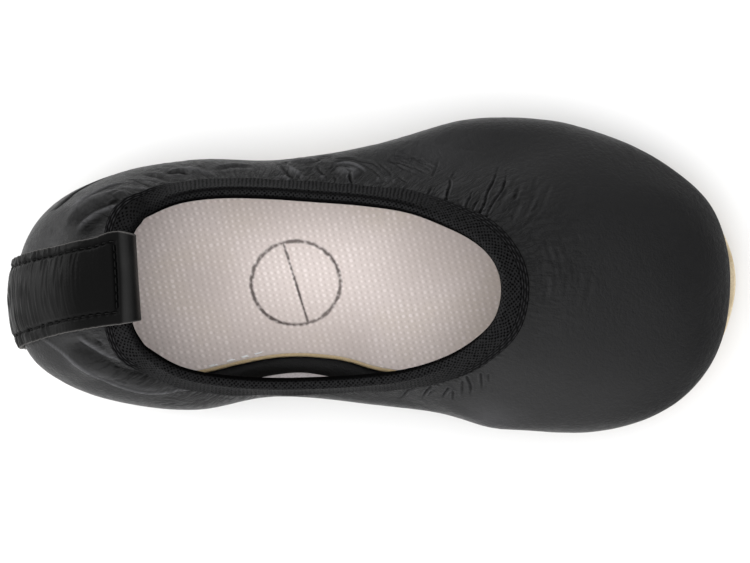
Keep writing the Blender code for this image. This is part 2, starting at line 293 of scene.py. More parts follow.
def hexColor(code):
    channels = [int(code[k:k + 2], 16) / 255 for k in (1, 3, 5)]
    linear = [c / 12.92 if c <= 0.04045 else ((c + 0.055) / 1.055) ** 2.4 for c in channels]
    return (*linear, 1.0)


def setInput(tree, socket, value):
    # A link from another node, a hex colour or a plain value
    if isinstance(value, bpy.types.NodeSocket):
        tree.links.new(value, socket)
    else:
        socket.default_value = hexColor(value) if isinstance(value, str) else value


def addNode(tree, kind, inputs=(), out=0, **settings):
    node = tree.nodes.new("ShaderNode" + kind)
    for name, value in settings.items():
        setattr(node, name, value)
    for key, value in dict(inputs).items():
        setInput(tree, node.inputs[key], value)
    return node.outputs[out]


def setSockets(material, **sockets):
    # What goes into the shader, with _ for each space in a socket's name
    shader = material.node_tree.nodes["Principled BSDF"]
    for name, value in sockets.items():
        setInput(material.node_tree, shader.inputs[name.replace("_", " ")], value)


def newMaterial(name, **sockets):
    # A Principled material with the values that are the same all over it, and what adds a node to it
    material = bpy.data.materials.new(name)
    material.use_nodes = True
    setSockets(material, **sockets)
    return material, partial(addNode, material.node_tree)


def perMm(size):
    return 1.0 / (size * mm)


def grainedMaterial(name, look, kind, inputs, **sockets):
    # One pattern that gives both the two tones and a low relief
    material, add = newMaterial(name, **sockets)
    place = add("TexCoord", out="Object")
    grain = add(kind, {"Vector": place, "Scale": perMm(look["grainMm"]), **inputs})
    tone = add("Mix", {0: grain, 6: look["low"], 7: look["high"]}, out=2, data_type="RGBA")
    bump = add("Bump", {"Height": grain, "Distance": look["reliefMm"] * mm, "Strength": look["strength"]})
    setSockets(material, Base_Color=tone, Normal=bump)
    return material


def planTree(points, picks):
    # Finds the nearest of the picked points, as seen from above
    tree = KDTree(len(picks))
    for index in picks:
        tree.insert((points[index, 0], points[index, 1], 0.0), int(index))
    tree.balance()
    return tree


def addPiece(name, points, faces, materials, replaced=None, faceMaterials=None, facesOut=True):
    # A mesh piece from points in mm, riding on the shoe
    points = np.asarray(points, dtype=float).reshape(-1, 3)
    faces = np.asarray(faces, dtype=int)
    if facesOut:
        a, b, c = (points[faces[:, k]] for k in range(3))
        volume = np.einsum("ij,ij->", a, np.cross(b, c))
        if faces.shape[1] == 4:
            volume += np.einsum("ij,ij->", a, np.cross(c, points[faces[:, 3]]))
        if volume < 0:
            faces = faces[:, ::-1]
    # A quad with one corner twice is a triangle
    outlines = [list(dict.fromkeys(face)) for face in faces.tolist()]
    mesh = bpy.data.meshes.new(name)
    mesh.from_pydata((points * mm).tolist(), [], outlines)
    for material in materials:
        mesh.materials.append(material)
    if faceMaterials is not None:
        mesh.polygons.foreach_set("material_index", np.asarray(faceMaterials, dtype=np.int32))
    mesh.shade_smooth()
    piece = bpy.data.objects.new(name, mesh)
    bpy.context.scene.collection.objects.link(piece)
    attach(piece, "root")
    if replaced:
        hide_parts(replaced)
    print("%s: %d triangles" % (name, sum(len(outline) - 2 for outline in outlines)))
    return piece


def addValues(piece, name, values):
    kind, field = ("FLOAT", "value") if np.ndim(values) == 1 else ("FLOAT_VECTOR", "vector")
    attribute = piece.data.attributes.new(name, kind, "POINT")
    attribute.data.foreach_set(field, np.ravel(values).astype(np.float32))


def gridFaces(rows, columns, closeRows=False, closeColumns=False, start=0):
    # Quads over a table of points, row by row
    r, c = np.meshgrid(np.arange(rows if closeRows else rows - 1),
                       np.arange(columns if closeColumns else columns - 1), indexing="ij")
    r, c = r.ravel(), c.ravel()
    r1, c1 = (r + 1) % rows, (c + 1) % columns
    near, far = r * columns, r1 * columns
    return start + np.stack((near + c, far + c, far + c1, near + c1), axis=1)


def crossStrips(count):
    # Quads across a ring, between the points that face each other
    return np.array([(i, i + 1, (count - i - 1) % count, (count - i) % count) for i in range(count // 2)])


def addTubes(name, paths, radii, sides, material):
    # Many short threads as one joined mesh. Each path is a row of points, each with its radius.
    points, faces = [], []
    angles = np.arange(sides) * 2 * np.pi / sides
    for path, radius in zip(paths, radii):
        path = np.asarray(path)
        along = unit(np.gradient(path, axis=0))
        side = unit(np.cross(along, (0.31, 0.17, 0.93)))
        over = np.cross(along, side)
        spokes = side[:, None] * np.cos(angles)[:, None] + over[:, None] * np.sin(angles)[:, None]
        faces.append(gridFaces(len(path), sides, closeColumns=True, start=sum(len(p) for p in points)))
        points.append((path[:, None] + spokes * np.asarray(radius)[:, None, None]).reshape(-1, 3))
    return addPiece(name, np.concatenate(points), np.concatenate(faces), [material])


# Camera straight above the mouth, as the product photo was taken
camera = {"place": (0.00019, -0.0015, 0.810), "sensor": 36.0, "lens": 165.95}
cameraData = bpy.data.cameras.new("camera")
cameraData.sensor_width = camera["sensor"]
cameraData.lens = camera["lens"]
cameraObject = bpy.data.objects.new("camera", cameraData)
cameraObject.location = camera["place"]
bpy.context.scene.collection.objects.link(cameraObject)
bpy.context.scene.camera = cameraObject


# Upper

upper = {
    "tapeRun": 4.2,  # rows are far apart under the binding, close where the leather creases, then wider
    "tapeRows": 4,
    "fineRun": 17.0,
    "fineStep": 0.245,
    "midRun": 25.0,
    "midStep": 0.57,
    "lowerRows": 18,
    "lowerPower": 0.8,
    "columnAt": 11.0,  # columns are counted along the leather at this run
    "innerEvery": (10, 3),  # the inner face has one row for so many of the outer one
    "tapeEdge": 5.3,
    "lip": 0.35,  # the leather pushed up beside a trough, as a share of its depth
    "ridgeLip": 0.1,  # and drawn down beside a ridge
    "lipAt": 2.0,  # in half widths of the crease
    "lipWidth": 0.9,
    "narrowMm": 0.68,  # wider troughs than this are shaded less
    "hollowMm": 0.65,  # a trough so deep gets the darkest painted shade
    "crestMm": 0.36,  # and a ridge so high gets the palest colour, partly rubbed wear and partly painted highlight
    "fadeMm": 5.0,  # a fold rises and dies out over this length
    "wanderMm": (0.12, 0.27),  # how far a thin wrinkle strays along x and y
    "gatherMm": 0.32,
    "swellMm": 0.16,
    "strapHalf": 12.0,  # no creases under the strap
    "strapMiddle": -2.0,
}

# Columns of the leather: turn, mm from one to the next
columnSteps = (
    (0.0, 1.1),  # heel back, under the strap
    (12.0, 0.9),
    (21.0, 0.235),  # lateral heel
    (164.0, 0.235),
    (172.0, 0.6),  # throat
    (196.0, 0.6),
    (204.0, 0.25),  # medial throat
    (247.0, 0.25),
    (255.0, 0.6),  # medial waist
    (294.0, 0.6),
    (302.0, 0.25),  # medial heel
    (346.0, 0.25),
    (352.0, 0.9),
)

# Pleats that the elastic draws in: points (x, y) from the collar outwards, half width, height, all in mm
pleats = (
    # lateral throat, rear to front
    (((11.8, 17.7), (12.4, 18.7), (13.0, 19.7), (13.4, 20.8)), 0.24, -0.4),
    (((16.2, 16.7), (16.7, 19.0), (17.2, 20.3), (17.3, 21.5), (16.6, 22.3), (15.4, 22.4)), 0.27, -0.5),
    (((17.5, 22.0), (18.0, 23.0), (18.8, 24.0)), 0.24, -0.22),
    (((13.2, 22.5), (14.0, 24.0), (14.6, 26.0), (14.9, 27.6)), 0.24, -0.2),
    (((20.2, 14.7), (21.5, 17.3), (22.0, 18.7), (22.3, 19.8)), 0.22, -0.42),
    (((21.8, 14.0), (22.8, 16.0), (24.0, 17.5), (24.4, 18.4)), 0.22, -0.45),
    (((23.6, 13.8), (25.0, 16.5), (25.3, 18.0), (26.0, 19.5), (27.0, 21.0), (27.5, 23.0),
      (28.5, 25.7), (29.2, 28.0)), 0.24, -0.48),
    (((24.9, 12.5), (26.0, 15.0), (27.0, 16.7), (28.3, 18.3), (29.3, 20.0), (29.6, 22.0),
      (29.9, 24.5), (30.2, 27.0)), 0.23, -0.4),
    (((29.4, 14.0), (30.7, 15.5), (31.5, 17.0), (32.7, 19.0), (33.3, 19.8)), 0.4, -0.09),
    (((31.0, 13.0), (32.0, 14.5), (32.4, 15.7), (33.8, 18.5)), 0.4, -0.09),
    (((32.3, 12.0), (33.3, 13.0), (34.5, 14.5), (35.5, 16.5), (37.3, 18.7)), 0.42, -0.1),
    (((34.0, 11.3), (35.3, 12.3), (37.0, 14.5), (38.0, 16.0)), 0.42, -0.1),
    (((36.0, 11.3), (37.5, 13.0), (38.7, 14.5)), 0.42, -0.08),
    # medial throat
    (((9.0, -25.7), (7.5, -26.0), (7.0, -27.0), (6.0, -28.0), (5.0, -28.3)), 0.27, -0.62),
    (((12.8, -25.2), (11.8, -26.3), (11.0, -27.8), (10.8, -28.6)), 0.27, -0.62),
    (((12.9, -26.2), (12.0, -27.5)), 0.24, -0.4),
    (((16.8, -25.4), (16.0, -26.7), (15.2, -28.3)), 0.26, -0.6),
    (((17.9, -26.2), (17.8, -28.6)), 0.24, -0.5),
    (((20.0, -24.0), (20.0, -25.5), (19.9, -28.0)), 0.25, -0.38),
    (((20.9, -23.0), (21.4, -24.2), (21.9, -25.5), (21.6, -28.0)), 0.25, -0.52),
    (((24.0, -22.2), (24.2, -24.0), (24.5, -26.5)), 0.23, -0.46),
    (((25.7, -22.5), (26.0, -24.5)), 0.23, -0.3),
)

# Folds that lie free on the side, in the same columns: ridges over 0, troughs under it
folds = (
    # lateral waist: a round fold with the creases about it
    (((-9.6, 24.6), (-8.8, 25.2), (-7.0, 25.5), (-5.3, 25.4), (-4.0, 25.0), (-2.7, 24.2),
      (-0.8, 22.7)), 0.42, 0.42),
    (((-9.0, 23.2), (-6.0, 23.6), (-2.5, 22.8)), 1.5, 0.6),
    (((-10.4, 26.7), (-8.9, 26.4), (-5.1, 26.5), (-3.1, 25.8), (-1.4, 25.6), (0.1, 25.1),
      (2.6, 22.9)), 0.27, -0.32),
    (((-3.1, 25.4), (-2.1, 24.9), (-0.6, 24.0), (0.7, 22.9), (1.8, 21.4), (1.4, 20.6)), 0.3, -0.22),
    (((0.3, 25.9), (1.6, 24.9), (2.9, 23.8), (3.9, 22.7), (3.5, 21.0)), 0.3, -0.22),
    (((2.9, 25.9), (4.4, 25.6), (5.6, 25.4), (6.9, 25.2)), 0.3, -0.22),
    (((5.0, 22.5), (6.5, 21.4), (7.8, 20.4)), 0.3, -0.28),
    (((1.0, 22.2), (0.9, 21.4), (1.1, 20.6)), 0.45, 0.22),
    (((2.7, 22.4), (2.9, 21.7), (2.6, 20.7)), 0.45, 0.22),
    (((4.6, 21.8), (4.4, 21.2), (4.6, 20.2)), 0.45, 0.22),
    (((6.4, 20.3), (6.7, 19.4)), 0.45, 0.2),
    (((-5.4, 23.4), (-5.5, 21.9), (-4.8, 20.3)), 0.3, -0.5),
    (((-10.0, 23.1), (-8.7, 24.2)), 0.24, -0.2),
    (((-10.2, 23.8), (-9.1, 24.9)), 0.24, -0.2),
    (((-10.1, 22.6), (-8.3, 22.9), (-6.9, 23.0)), 0.24, -0.14),
    (((-9.7, 22.0), (-8.3, 22.1), (-9.0, 20.6)), 0.3, -0.26),
    # behind the waist
    (((-13.4, 25.1), (-12.6, 23.8), (-11.1, 22.7), (-10.2, 23.1)), 0.45, -0.32),
    (((-12.3, 22.7), (-10.8, 21.3)), 0.45, 0.22),
    (((-21.6, 25.0), (-19.9, 23.6), (-18.4, 22.1), (-17.8, 21.2)), 0.6, -0.42),
    (((-19.8, 24.8), (-17.9, 23.6), (-16.4, 22.5), (-15.5, 21.4)), 0.55, 0.26),
    (((-22.2, 22.1), (-20.3, 22.1), (-18.7, 20.9)), 0.5, 0.22),
    (((-19.6, 25.6), (-16.6, 26.4), (-12.8, 26.1)), 1.4, 0.45),
    (((-13.1, 25.6), (-12.4, 26.8)), 0.45, -0.3),
    (((-20.5, 25.0), (-19.9, 26.0)), 0.6, -0.3),
    (((-11.6, 25.6), (-11.4, 26.6), (-11.2, 27.4)), 2.0, -0.42),
    # lateral heel: long folds from the strap
    (((-69.8, 14.7), (-66.6, 16.75), (-64.3, 18.35), (-61.4, 19.9), (-59.1, 20.8),
      (-55.0, 21.5)), 0.5, 0.46),
    (((-70.0, 10.6), (-67.0, 13.0), (-63.8, 15.3), (-60.3, 16.8), (-57.2, 17.6),
      (-53.5, 17.4)), 1.5, -1.05),
    (((-67.8, 9.4), (-65.0, 11.7), (-62.3, 13.7), (-59.7, 15.1), (-56.7, 15.8),
      (-54.4, 16.1)), 0.65, 0.16),
    (((-67.0, 8.4), (-61.9, 12.2), (-58.9, 13.3), (-55.5, 14.2)), 1.1, -0.8),
    (((-66.3, 8.2), (-63.6, 10.1), (-60.9, 11.1), (-58.0, 11.7)), 0.6, 0.08),
    (((-66.5, 7.6), (-62.5, 9.9), (-58.5, 11.4)), 1.3, -0.75),
    (((-54.9, 22.0), (-52.3, 21.0), (-49.7, 19.9)), 0.6, -0.42),
    (((-58.2, 20.3), (-53.6, 19.7), (-49.3, 19.2)), 0.5, 0.2),
    (((-47.5, 23.0), (-44.0, 23.5), (-41.5, 22.5)), 0.7, -0.5),
    (((-53.5, 23.3), (-48.5, 22.3), (-44.0, 20.5)), 0.7, -0.35),
    (((-45.0, 24.4), (-40.0, 23.8), (-35.0, 21.8)), 0.8, 0.28),
    (((-37.0, 23.6), (-32.0, 24.8), (-27.0, 24.4)), 0.8, -0.3),
    # medial heel
    (((-77.6, -12.6), (-70.2, -17.7), (-65.1, -21.5), (-59.1, -24.7), (-52.4, -26.6), (-47.0, -26.4),
      (-42.6, -25.7), (-36.4, -26.7)), 0.4, 0.33),
    (((-70.6, -14.6), (-65.9, -18.1), (-60.2, -21.0), (-54.7, -23.0), (-49.0, -23.8),
      (-43.0, -23.4)), 1.7, -0.9),
    (((-69.0, -13.8), (-64.0, -17.6), (-59.0, -20.2), (-53.0, -22.2), (-47.0, -23.0)), 2.0, -0.5),
    (((-68.2, -12.8), (-66.4, -14.2), (-64.7, -15.5), (-62.5, -16.8), (-60.4, -17.9),
      (-55.7, -19.4)), 0.55, 0.22),
    (((-66.3, -12.7), (-63.0, -14.7), (-60.0, -16.2)), 0.6, -0.32),
    # medial ball: short slanting wrinkles
    (((20.6, -33.4), (22.2, -31.9)), 0.3, -0.08),
    (((22.6, -34.3), (24.6, -32.3)), 0.32, -0.1),
    (((25.0, -34.6), (27.4, -32.2)), 0.32, -0.12),
    (((27.8, -34.9), (30.2, -32.4)), 0.32, -0.1),
    (((30.6, -35.0), (32.6, -33.0)), 0.32, -0.08),
)

# Bands of thin wrinkles between two guide lines: first guide, second guide, how many, half width, height
wrinkleBands = (
    (((1.0, 26.5), (5.0, 24.8), (9.0, 22.0), (11.5, 20.0)),
     ((4.0, 29.3), (10.0, 27.6), (16.0, 25.2), (21.0, 22.5)), 18, 0.26, -0.13),
    (((10.0, 30.2), (16.0, 28.6), (22.0, 26.4)),
     ((16.0, 32.0), (22.0, 30.3), (28.0, 28.0)), 12, 0.45, -0.06),
    (((-9.0, 22.0), (-6.5, 22.8), (-4.0, 22.0)),
     ((-9.0, 24.6), (-6.5, 25.2), (-3.0, 23.8)), 7, 0.25, -0.08),
    (((26.0, 15.0), (28.3, 18.3), (29.6, 22.0), (30.0, 25.0)),
     ((35.0, 11.0), (38.0, 15.0), (40.0, 19.0), (41.0, 24.0)), 18, 0.38, -0.11),
    (((-75.0, 6.5), (-75.5, 9.0), (-74.0, 13.0)),
     ((-69.0, 8.5), (-70.5, 11.5), (-69.5, 15.0)), 9, 0.32, -0.09),
    (((-61.0, -16.5), (-57.0, -19.2), (-53.0, -20.5)),
     ((-60.0, -24.2), (-54.0, -24.8), (-49.0, -23.8)), 12, 0.28, -0.12),
    (((-66.0, -12.5), (-62.0, -13.6), (-60.0, -14.4)),
     ((-62.0, -16.0), (-59.5, -17.2), (-57.5, -17.6)), 6, 0.28, -0.14),
    (((-57.0, 22.6), (-53.0, 22.0), (-48.0, 20.6)),
     ((-57.0, 20.9), (-53.0, 20.3), (-49.0, 19.4)), 5, 0.28, -0.12),
    (((-64.0, 17.6), (-59.0, 19.8), (-54.0, 20.3)),
     ((-63.0, 14.6), (-58.0, 17.2), (-53.0, 17.6)), 6, 0.32, -0.1),
    (((-52.0, -28.0), (-46.0, -27.6), (-40.0, -27.8)),
     ((-52.0, -29.6), (-45.0, -29.8), (-38.0, -29.2)), 5, 0.34, -0.08),
    (((34.0, 8.0), (36.0, 0.0), (35.0, -8.0)),
     ((46.0, 13.0), (49.0, 0.0), (46.0, -13.0)), 10, 0.5, -0.05),
)

# Short gathers all along the elastic: from turn, to turn, how many, length, height, slant in degrees of turn
gathers = (
    (26, 52, 12, 3.0, -0.16, -3),
    (58, 108, 40, 2.2, -0.26, 2),
    (108, 152, 26, 3.0, -0.2, 4),
    (208, 252, 26, 2.6, -0.22, -3),
    (256, 300, 28, 2.2, -0.24, 2),
    (300, 338, 28, 3.0, -0.26, 3),
)

# Fine gathers drawn by the elastic: turn, strength, reach in mm down from the binding
fineGathers = (
    (0.0, 0.2, 6.0),
    (25.0, 0.7, 12.0),  # lateral heel
    (60.0, 0.9, 9.0),
    (95.0, 0.7, 8.0),  # lateral waist
    (125.0, 0.8, 13.0),  # lateral throat
    (155.0, 0.85, 16.0),
    (172.0, 0.6, 15.0),  # throat
    (190.0, 0.3, 12.0),
    (210.0, 0.1, 6.0),
    (235.0, 0.5, 5.0),  # medial throat
    (270.0, 0.8, 5.0),
    (310.0, 1.0, 9.0),  # medial heel
    (340.0, 0.7, 10.0),
)

# Where the leather is crumpled finely: x, y, radius, amount
crinkles = (
    (-15.0, 22.6, 5.0, 0.9),
    (5.0, 21.5, 5.0, 0.4),
    (-45.0, 23.0, 9.0, 0.4),
    (22.0, 21.0, 12.0, 0.2),
    (9.0, 27.0, 8.0, 0.3),
    (10.0, -27.5, 10.0, 0.25),
)

# Broad soft swells and hollows of the sides: x, y, reach along x, reach along y, height
swells = (
    (26.0, -34.0, 8.0, 6.0, 1.4),  # medial ball
    (-64.0, 20.0, 16.0, 8.0, -0.5),  # lateral heel
)

# Painted highlights, places painted paler as a sheen on the balls: x, y, radius, amount
sheenSpots = (
    (13.0, 29.0, 9.0, 0.16),  # lateral ball
    (27.0, -33.0, 6.0, 0.45),  # medial ball
)

# Painted shade in the folds of the lateral heel, in the same columns
shadySpots = (
    (-66.0, 10.5, 4.0, 0.55),
    (-61.5, 13.5, 4.5, 0.5),
    (-56.0, 15.5, 4.5, 0.45),
)

# Slight waves of soft leather everywhere: way and phase
softWaves = (
    ((0.31, 0.12, 0.2), 0.3),
    ((-0.13, 0.36, 0.17), 1.9),
    ((0.22, -0.25, 0.31), 4.1),
    ((0.08, 0.19, -0.42), 2.6),
)


def smoothLine(points, spacing=0.3):
    # A smooth line through a few points, as points a spacing apart
    points = np.asarray(points, dtype=float)
    spans = len(points) - 1
    if spans == 1:
        dense = np.linspace(points[0], points[1], 41)
    else:
        padded = np.concatenate(([2 * points[0] - points[1]], points, [2 * points[-1] - points[-2]]))
        dense = np.array([curvePoint(*padded[k:k + 4], t) for k in range(spans)
                          for t in np.linspace(0, 1, 24, endpoint=k == spans - 1)])
    along = lengthsAlong(dense)
    shares = np.linspace(0, along[-1], max(int(along[-1] / spacing), 4))
    return np.stack([np.interp(shares, along, dense[:, k]) for k in range(dense.shape[1])], axis=1)


def raiseCrease(points, lift, shade, line, halfWidth, height, fromCollar):
    # Adds one soft trough or ridge along a line on the leather to the lift of its points, and to their shade
    reach = 4 * halfWidth
    inBox = np.all((points > line.min(axis=0) - reach) & (points < line.max(axis=0) + reach), axis=1)
    near = np.nonzero(inBox)[0]
    if not len(near):
        return
    apart = np.linalg.norm(points[near, None] - line[None], axis=-1)
    closest = apart.argmin(axis=1)
    distance = apart[np.arange(len(near)), closest] / halfWidth
    share = closest / (len(line) - 1)
    ends = smooth(1 - share, 0, 0.55)
    if not fromCollar:
        fade = min(0.3, upper["fadeMm"] / lengthsAlong(line)[-1])
        ends = smooth(1 - share, 0, fade) * smooth(share, 0, fade)
    distance = distance / (0.5 + 0.5 * ends)
    lip = upper["lip"] if height < 0 else upper["ridgeLip"]
    profile = np.exp(-distance ** 2) - lip * np.exp(-((distance - upper["lipAt"]) / upper["lipWidth"]) ** 2)
    lift[near] += height * ends * profile
    shade[near] += height * ends * profile * min(1.0, upper["narrowMm"] / halfWidth)


def upperTurns():
    fine = np.linspace(0, 360, 3601)
    lengths = np.linalg.norm(np.diff(offWall(fine, upper["columnAt"], 0.0), axis=0), axis=1)
    turnRow, stepRow = np.array(columnSteps).T
    steps = np.interp(fine[:-1], turnRow, stepRow, period=360)
    counted = np.concatenate(([0], np.cumsum(lengths / steps)))
    count = int(counted[-1])
    return np.interp(np.arange(count) * counted[-1] / count, counted, fine)


def upperRuns(lengths):
    tape = np.linspace(0, upper["tapeRun"], upper["tapeRows"], endpoint=False)
    fine = np.arange(upper["tapeRun"], upper["fineRun"], upper["fineStep"])
    middle = np.arange(upper["fineRun"], upper["midRun"], upper["midStep"])
    shares = np.linspace(0, 1, upper["lowerRows"]) ** upper["lowerPower"]
    lower = upper["midRun"] + shares[:, None] * (lengths - upper["midRun"])[None]
    near = np.concatenate((tape, fine, middle))
    return np.concatenate((np.repeat(near[:, None], len(lengths), axis=1), lower)), len(near)


def layCreases(points, onLeather):
    # Height of every crease over the plain leather, and how much each shades it
    lift, shade = np.zeros((2, len(points)))
    for lines, fromCollar in ((pleats, True), (folds, False)):
        for line, halfWidth, height in lines:
            raiseCrease(points, lift, shade, onLeather(smoothLine(line)), halfWidth, height, fromCollar)
    chance = np.random.default_rng(7)
    steps = np.linspace(0, 1, 40)
    for firstGuide, secondGuide, count, halfWidth, height in wrinkleBands:
        guides = []
        for guide in (smoothLine(firstGuide), smoothLine(secondGuide)):
            shares = np.linspace(0, 1, len(guide))
            guides.append(np.stack([np.interp(steps, shares, guide[:, k]) for k in (0, 1)], axis=1))
        for k in range(2 * count):
            share = (k // 2 + 0.5 + chance.uniform(-0.5, 0.5)) / count
            line = guides[0] * (1 - share) + guides[1] * share
            sway = np.sin(steps * chance.uniform(4, 9) + chance.uniform(0, 6))
            line = line + sway[:, None] * upper["wanderMm"]
            start = int(chance.uniform(0, 20))
            end = start + int(chance.uniform(12, 20))
            tall = height * chance.uniform(0.5, 1.4)
            raiseCrease(points, lift, shade, onLeather(line[start:end]), halfWidth, tall, False)
    steps = np.linspace(0, 1, 14)
    for fromTurn, toTurn, count, length, height, slant in gathers:
        for k in range(count):
            turn = fromTurn + (toTurn - fromTurn) * (k + 0.5 + chance.uniform(-0.35, 0.35)) / count
            reach = length * chance.uniform(0.6, 1.4)
            turns = turn + slant * steps * reach / length + 0.6 * np.sin(steps * 3 + k)
            line = offWall(turns, upper["tapeEdge"] - 1.0 + steps * reach, 0.0)
            tall = height * chance.uniform(0.5, 1.4)
            raiseCrease(points, lift, shade, line, upper["gatherMm"], tall, True)
    return lift, shade


def swellLeather(points, lift):
    # Adds fine crumpling in places, slight waves and broad swells, and gives how crumpled each point is
    x, y, z = points.T
    crumpled = np.zeros(len(points))
    for spotX, spotY, radius, amount in crinkles:
        away = (x - spotX) ** 2 + (y - spotY) ** 2
        crumpled = np.maximum(crumpled, amount * np.exp(-away / radius ** 2))
    crumpled *= smooth(z, 8.0, 16.0)
    for index in np.nonzero(crumpled > 0.04)[0]:
        place = Vector(points[index])
        creased = 0.5 * abs(noise.noise(place * 0.42)) + 0.2 * abs(noise.noise(place * 0.9))
        lift[index] += crumpled[index] * (0.16 - creased)
    waves = sum(np.sin(points @ np.array(way) + phase) for way, phase in softWaves)
    lift += upper["swellMm"] / len(softWaves) * waves
    for spotX, spotY, reachX, reachY, height in swells:
        lift += height * np.exp(-((x - spotX) / reachX) ** 2 - ((y - spotY) / reachY) ** 2)
    return crumpled


def freeLeather(points, runs):
    # 0 where the leather lies flat under the binding, under the strap and on the sole, 1 elsewhere
    x, y, z = points.T
    edge, half = upper["tapeEdge"], upper["strapHalf"]
    free = smooth(runs, edge - 2.0, edge + 1.2) * smooth(z, 4.0, 12.0)
    besideStrap = smooth(np.abs(y - upper["strapMiddle"]), half - 2.5, half)
    return free * (1 - smooth(-x, 48.0, 54.0) * (1 - besideStrap))


def makeUpper(material):
    turns = upperTurns()
    path, runsDown = wallPaths(turns)
    runs, nearRows = upperRuns(runsDown[-1])
    grid = alongPaths(path, runsDown, runs)
    normals = gridNormals(grid)
    points = grid.reshape(-1, 3)
    rows, columns = runs.shape
    tree = planTree(points, np.nonzero(normals[..., 2].ravel() > 0.05)[0])

    def onLeather(line):
        # A line drawn from above, set on the leather that faces up
        placed = np.array([points[tree.find((x, y, 0.0))[1]] for x, y in line])
        for k in range(8):
            placed[1:-1] = (placed[:-2] + 2 * placed[1:-1] + placed[2:]) / 4
        return placed

    lift, shade = layCreases(points, onLeather)
    crumpled = swellLeather(points, lift)
    free = freeLeather(points, runs.ravel())
    lift *= free
    shade *= free

    outer = points + normals.reshape(-1, 3) * lift[:, None]
    nearEvery, farEvery = upper["innerEvery"]
    innerRows = (np.arange(0, nearRows, nearEvery), np.arange(nearRows, rows, farEvery), [rows - 1])
    innerRows = np.unique(np.concatenate(innerRows))[::-1]
    thick = last["wall"] - 0.5 * lift.reshape(rows, columns)[innerRows]
    inner = grid[innerRows] - normals[innerRows] * thick[..., None]
    allPoints = np.concatenate((outer, inner.reshape(-1, 3)))
    faces = gridFaces(rows + len(innerRows), columns, closeRows=True, closeColumns=True)
    piece = addPiece("upper_leather", allPoints, faces, [material], "upper")

    # What the leather's colour and gloss go by, on its outer face: painted shade in its troughs, paler
    # ridges that are partly rubbed wear and partly painted highlight, and painted shade low on the toe
    hollowShade = np.clip(-shade / upper["hollowMm"], 0, 1) ** 1.5
    crestSheen = np.clip(shade / upper["crestMm"], 0, 1) ** 1.5
    for values, spots in ((hollowShade, shadySpots), (crestSheen, sheenSpots)):
        for x, y, radius, amount in spots:
            apart = np.linalg.norm(points - onLeather([(x, y)]), axis=1)
            np.maximum(values, amount * np.exp(-(apart / radius) ** 2), out=values)
    # Painted shade: low on the toe the leather loses most of its gloss, so its rim reflection goes dark
    toeLow = smooth(points[:, 0], 40.0, 70.0) * (1 - smooth(points[:, 2], 15.0, 26.0))
    turnRow, strengthRow, reachRow = np.array(fineGathers).T
    strength = np.interp(turns, turnRow, strengthRow, period=360)[None]
    reach = np.interp(turns, turnRow, reachRow, period=360)[None]
    gathered = strength * np.exp(-(np.maximum(runs - upper["tapeEdge"], 0) / reach) ** 2)
    collarPlace = np.stack((np.interp(turns, wallTurns, collarAlong) + 0 * runs, runs, 0 * runs), axis=-1)
    given = {"hollowShade": hollowShade, "crestSheen": crestSheen, "toeLow": toeLow, "crumpled": crumpled,
             "gathered": gathered.ravel(), "collarPlace": collarPlace.reshape(-1, 3)}
    for name, values in given.items():
        onInner = np.zeros((inner.size // 3,) + values.shape[1:])
        addValues(piece, name, np.concatenate((values, onInner)))
    return piece


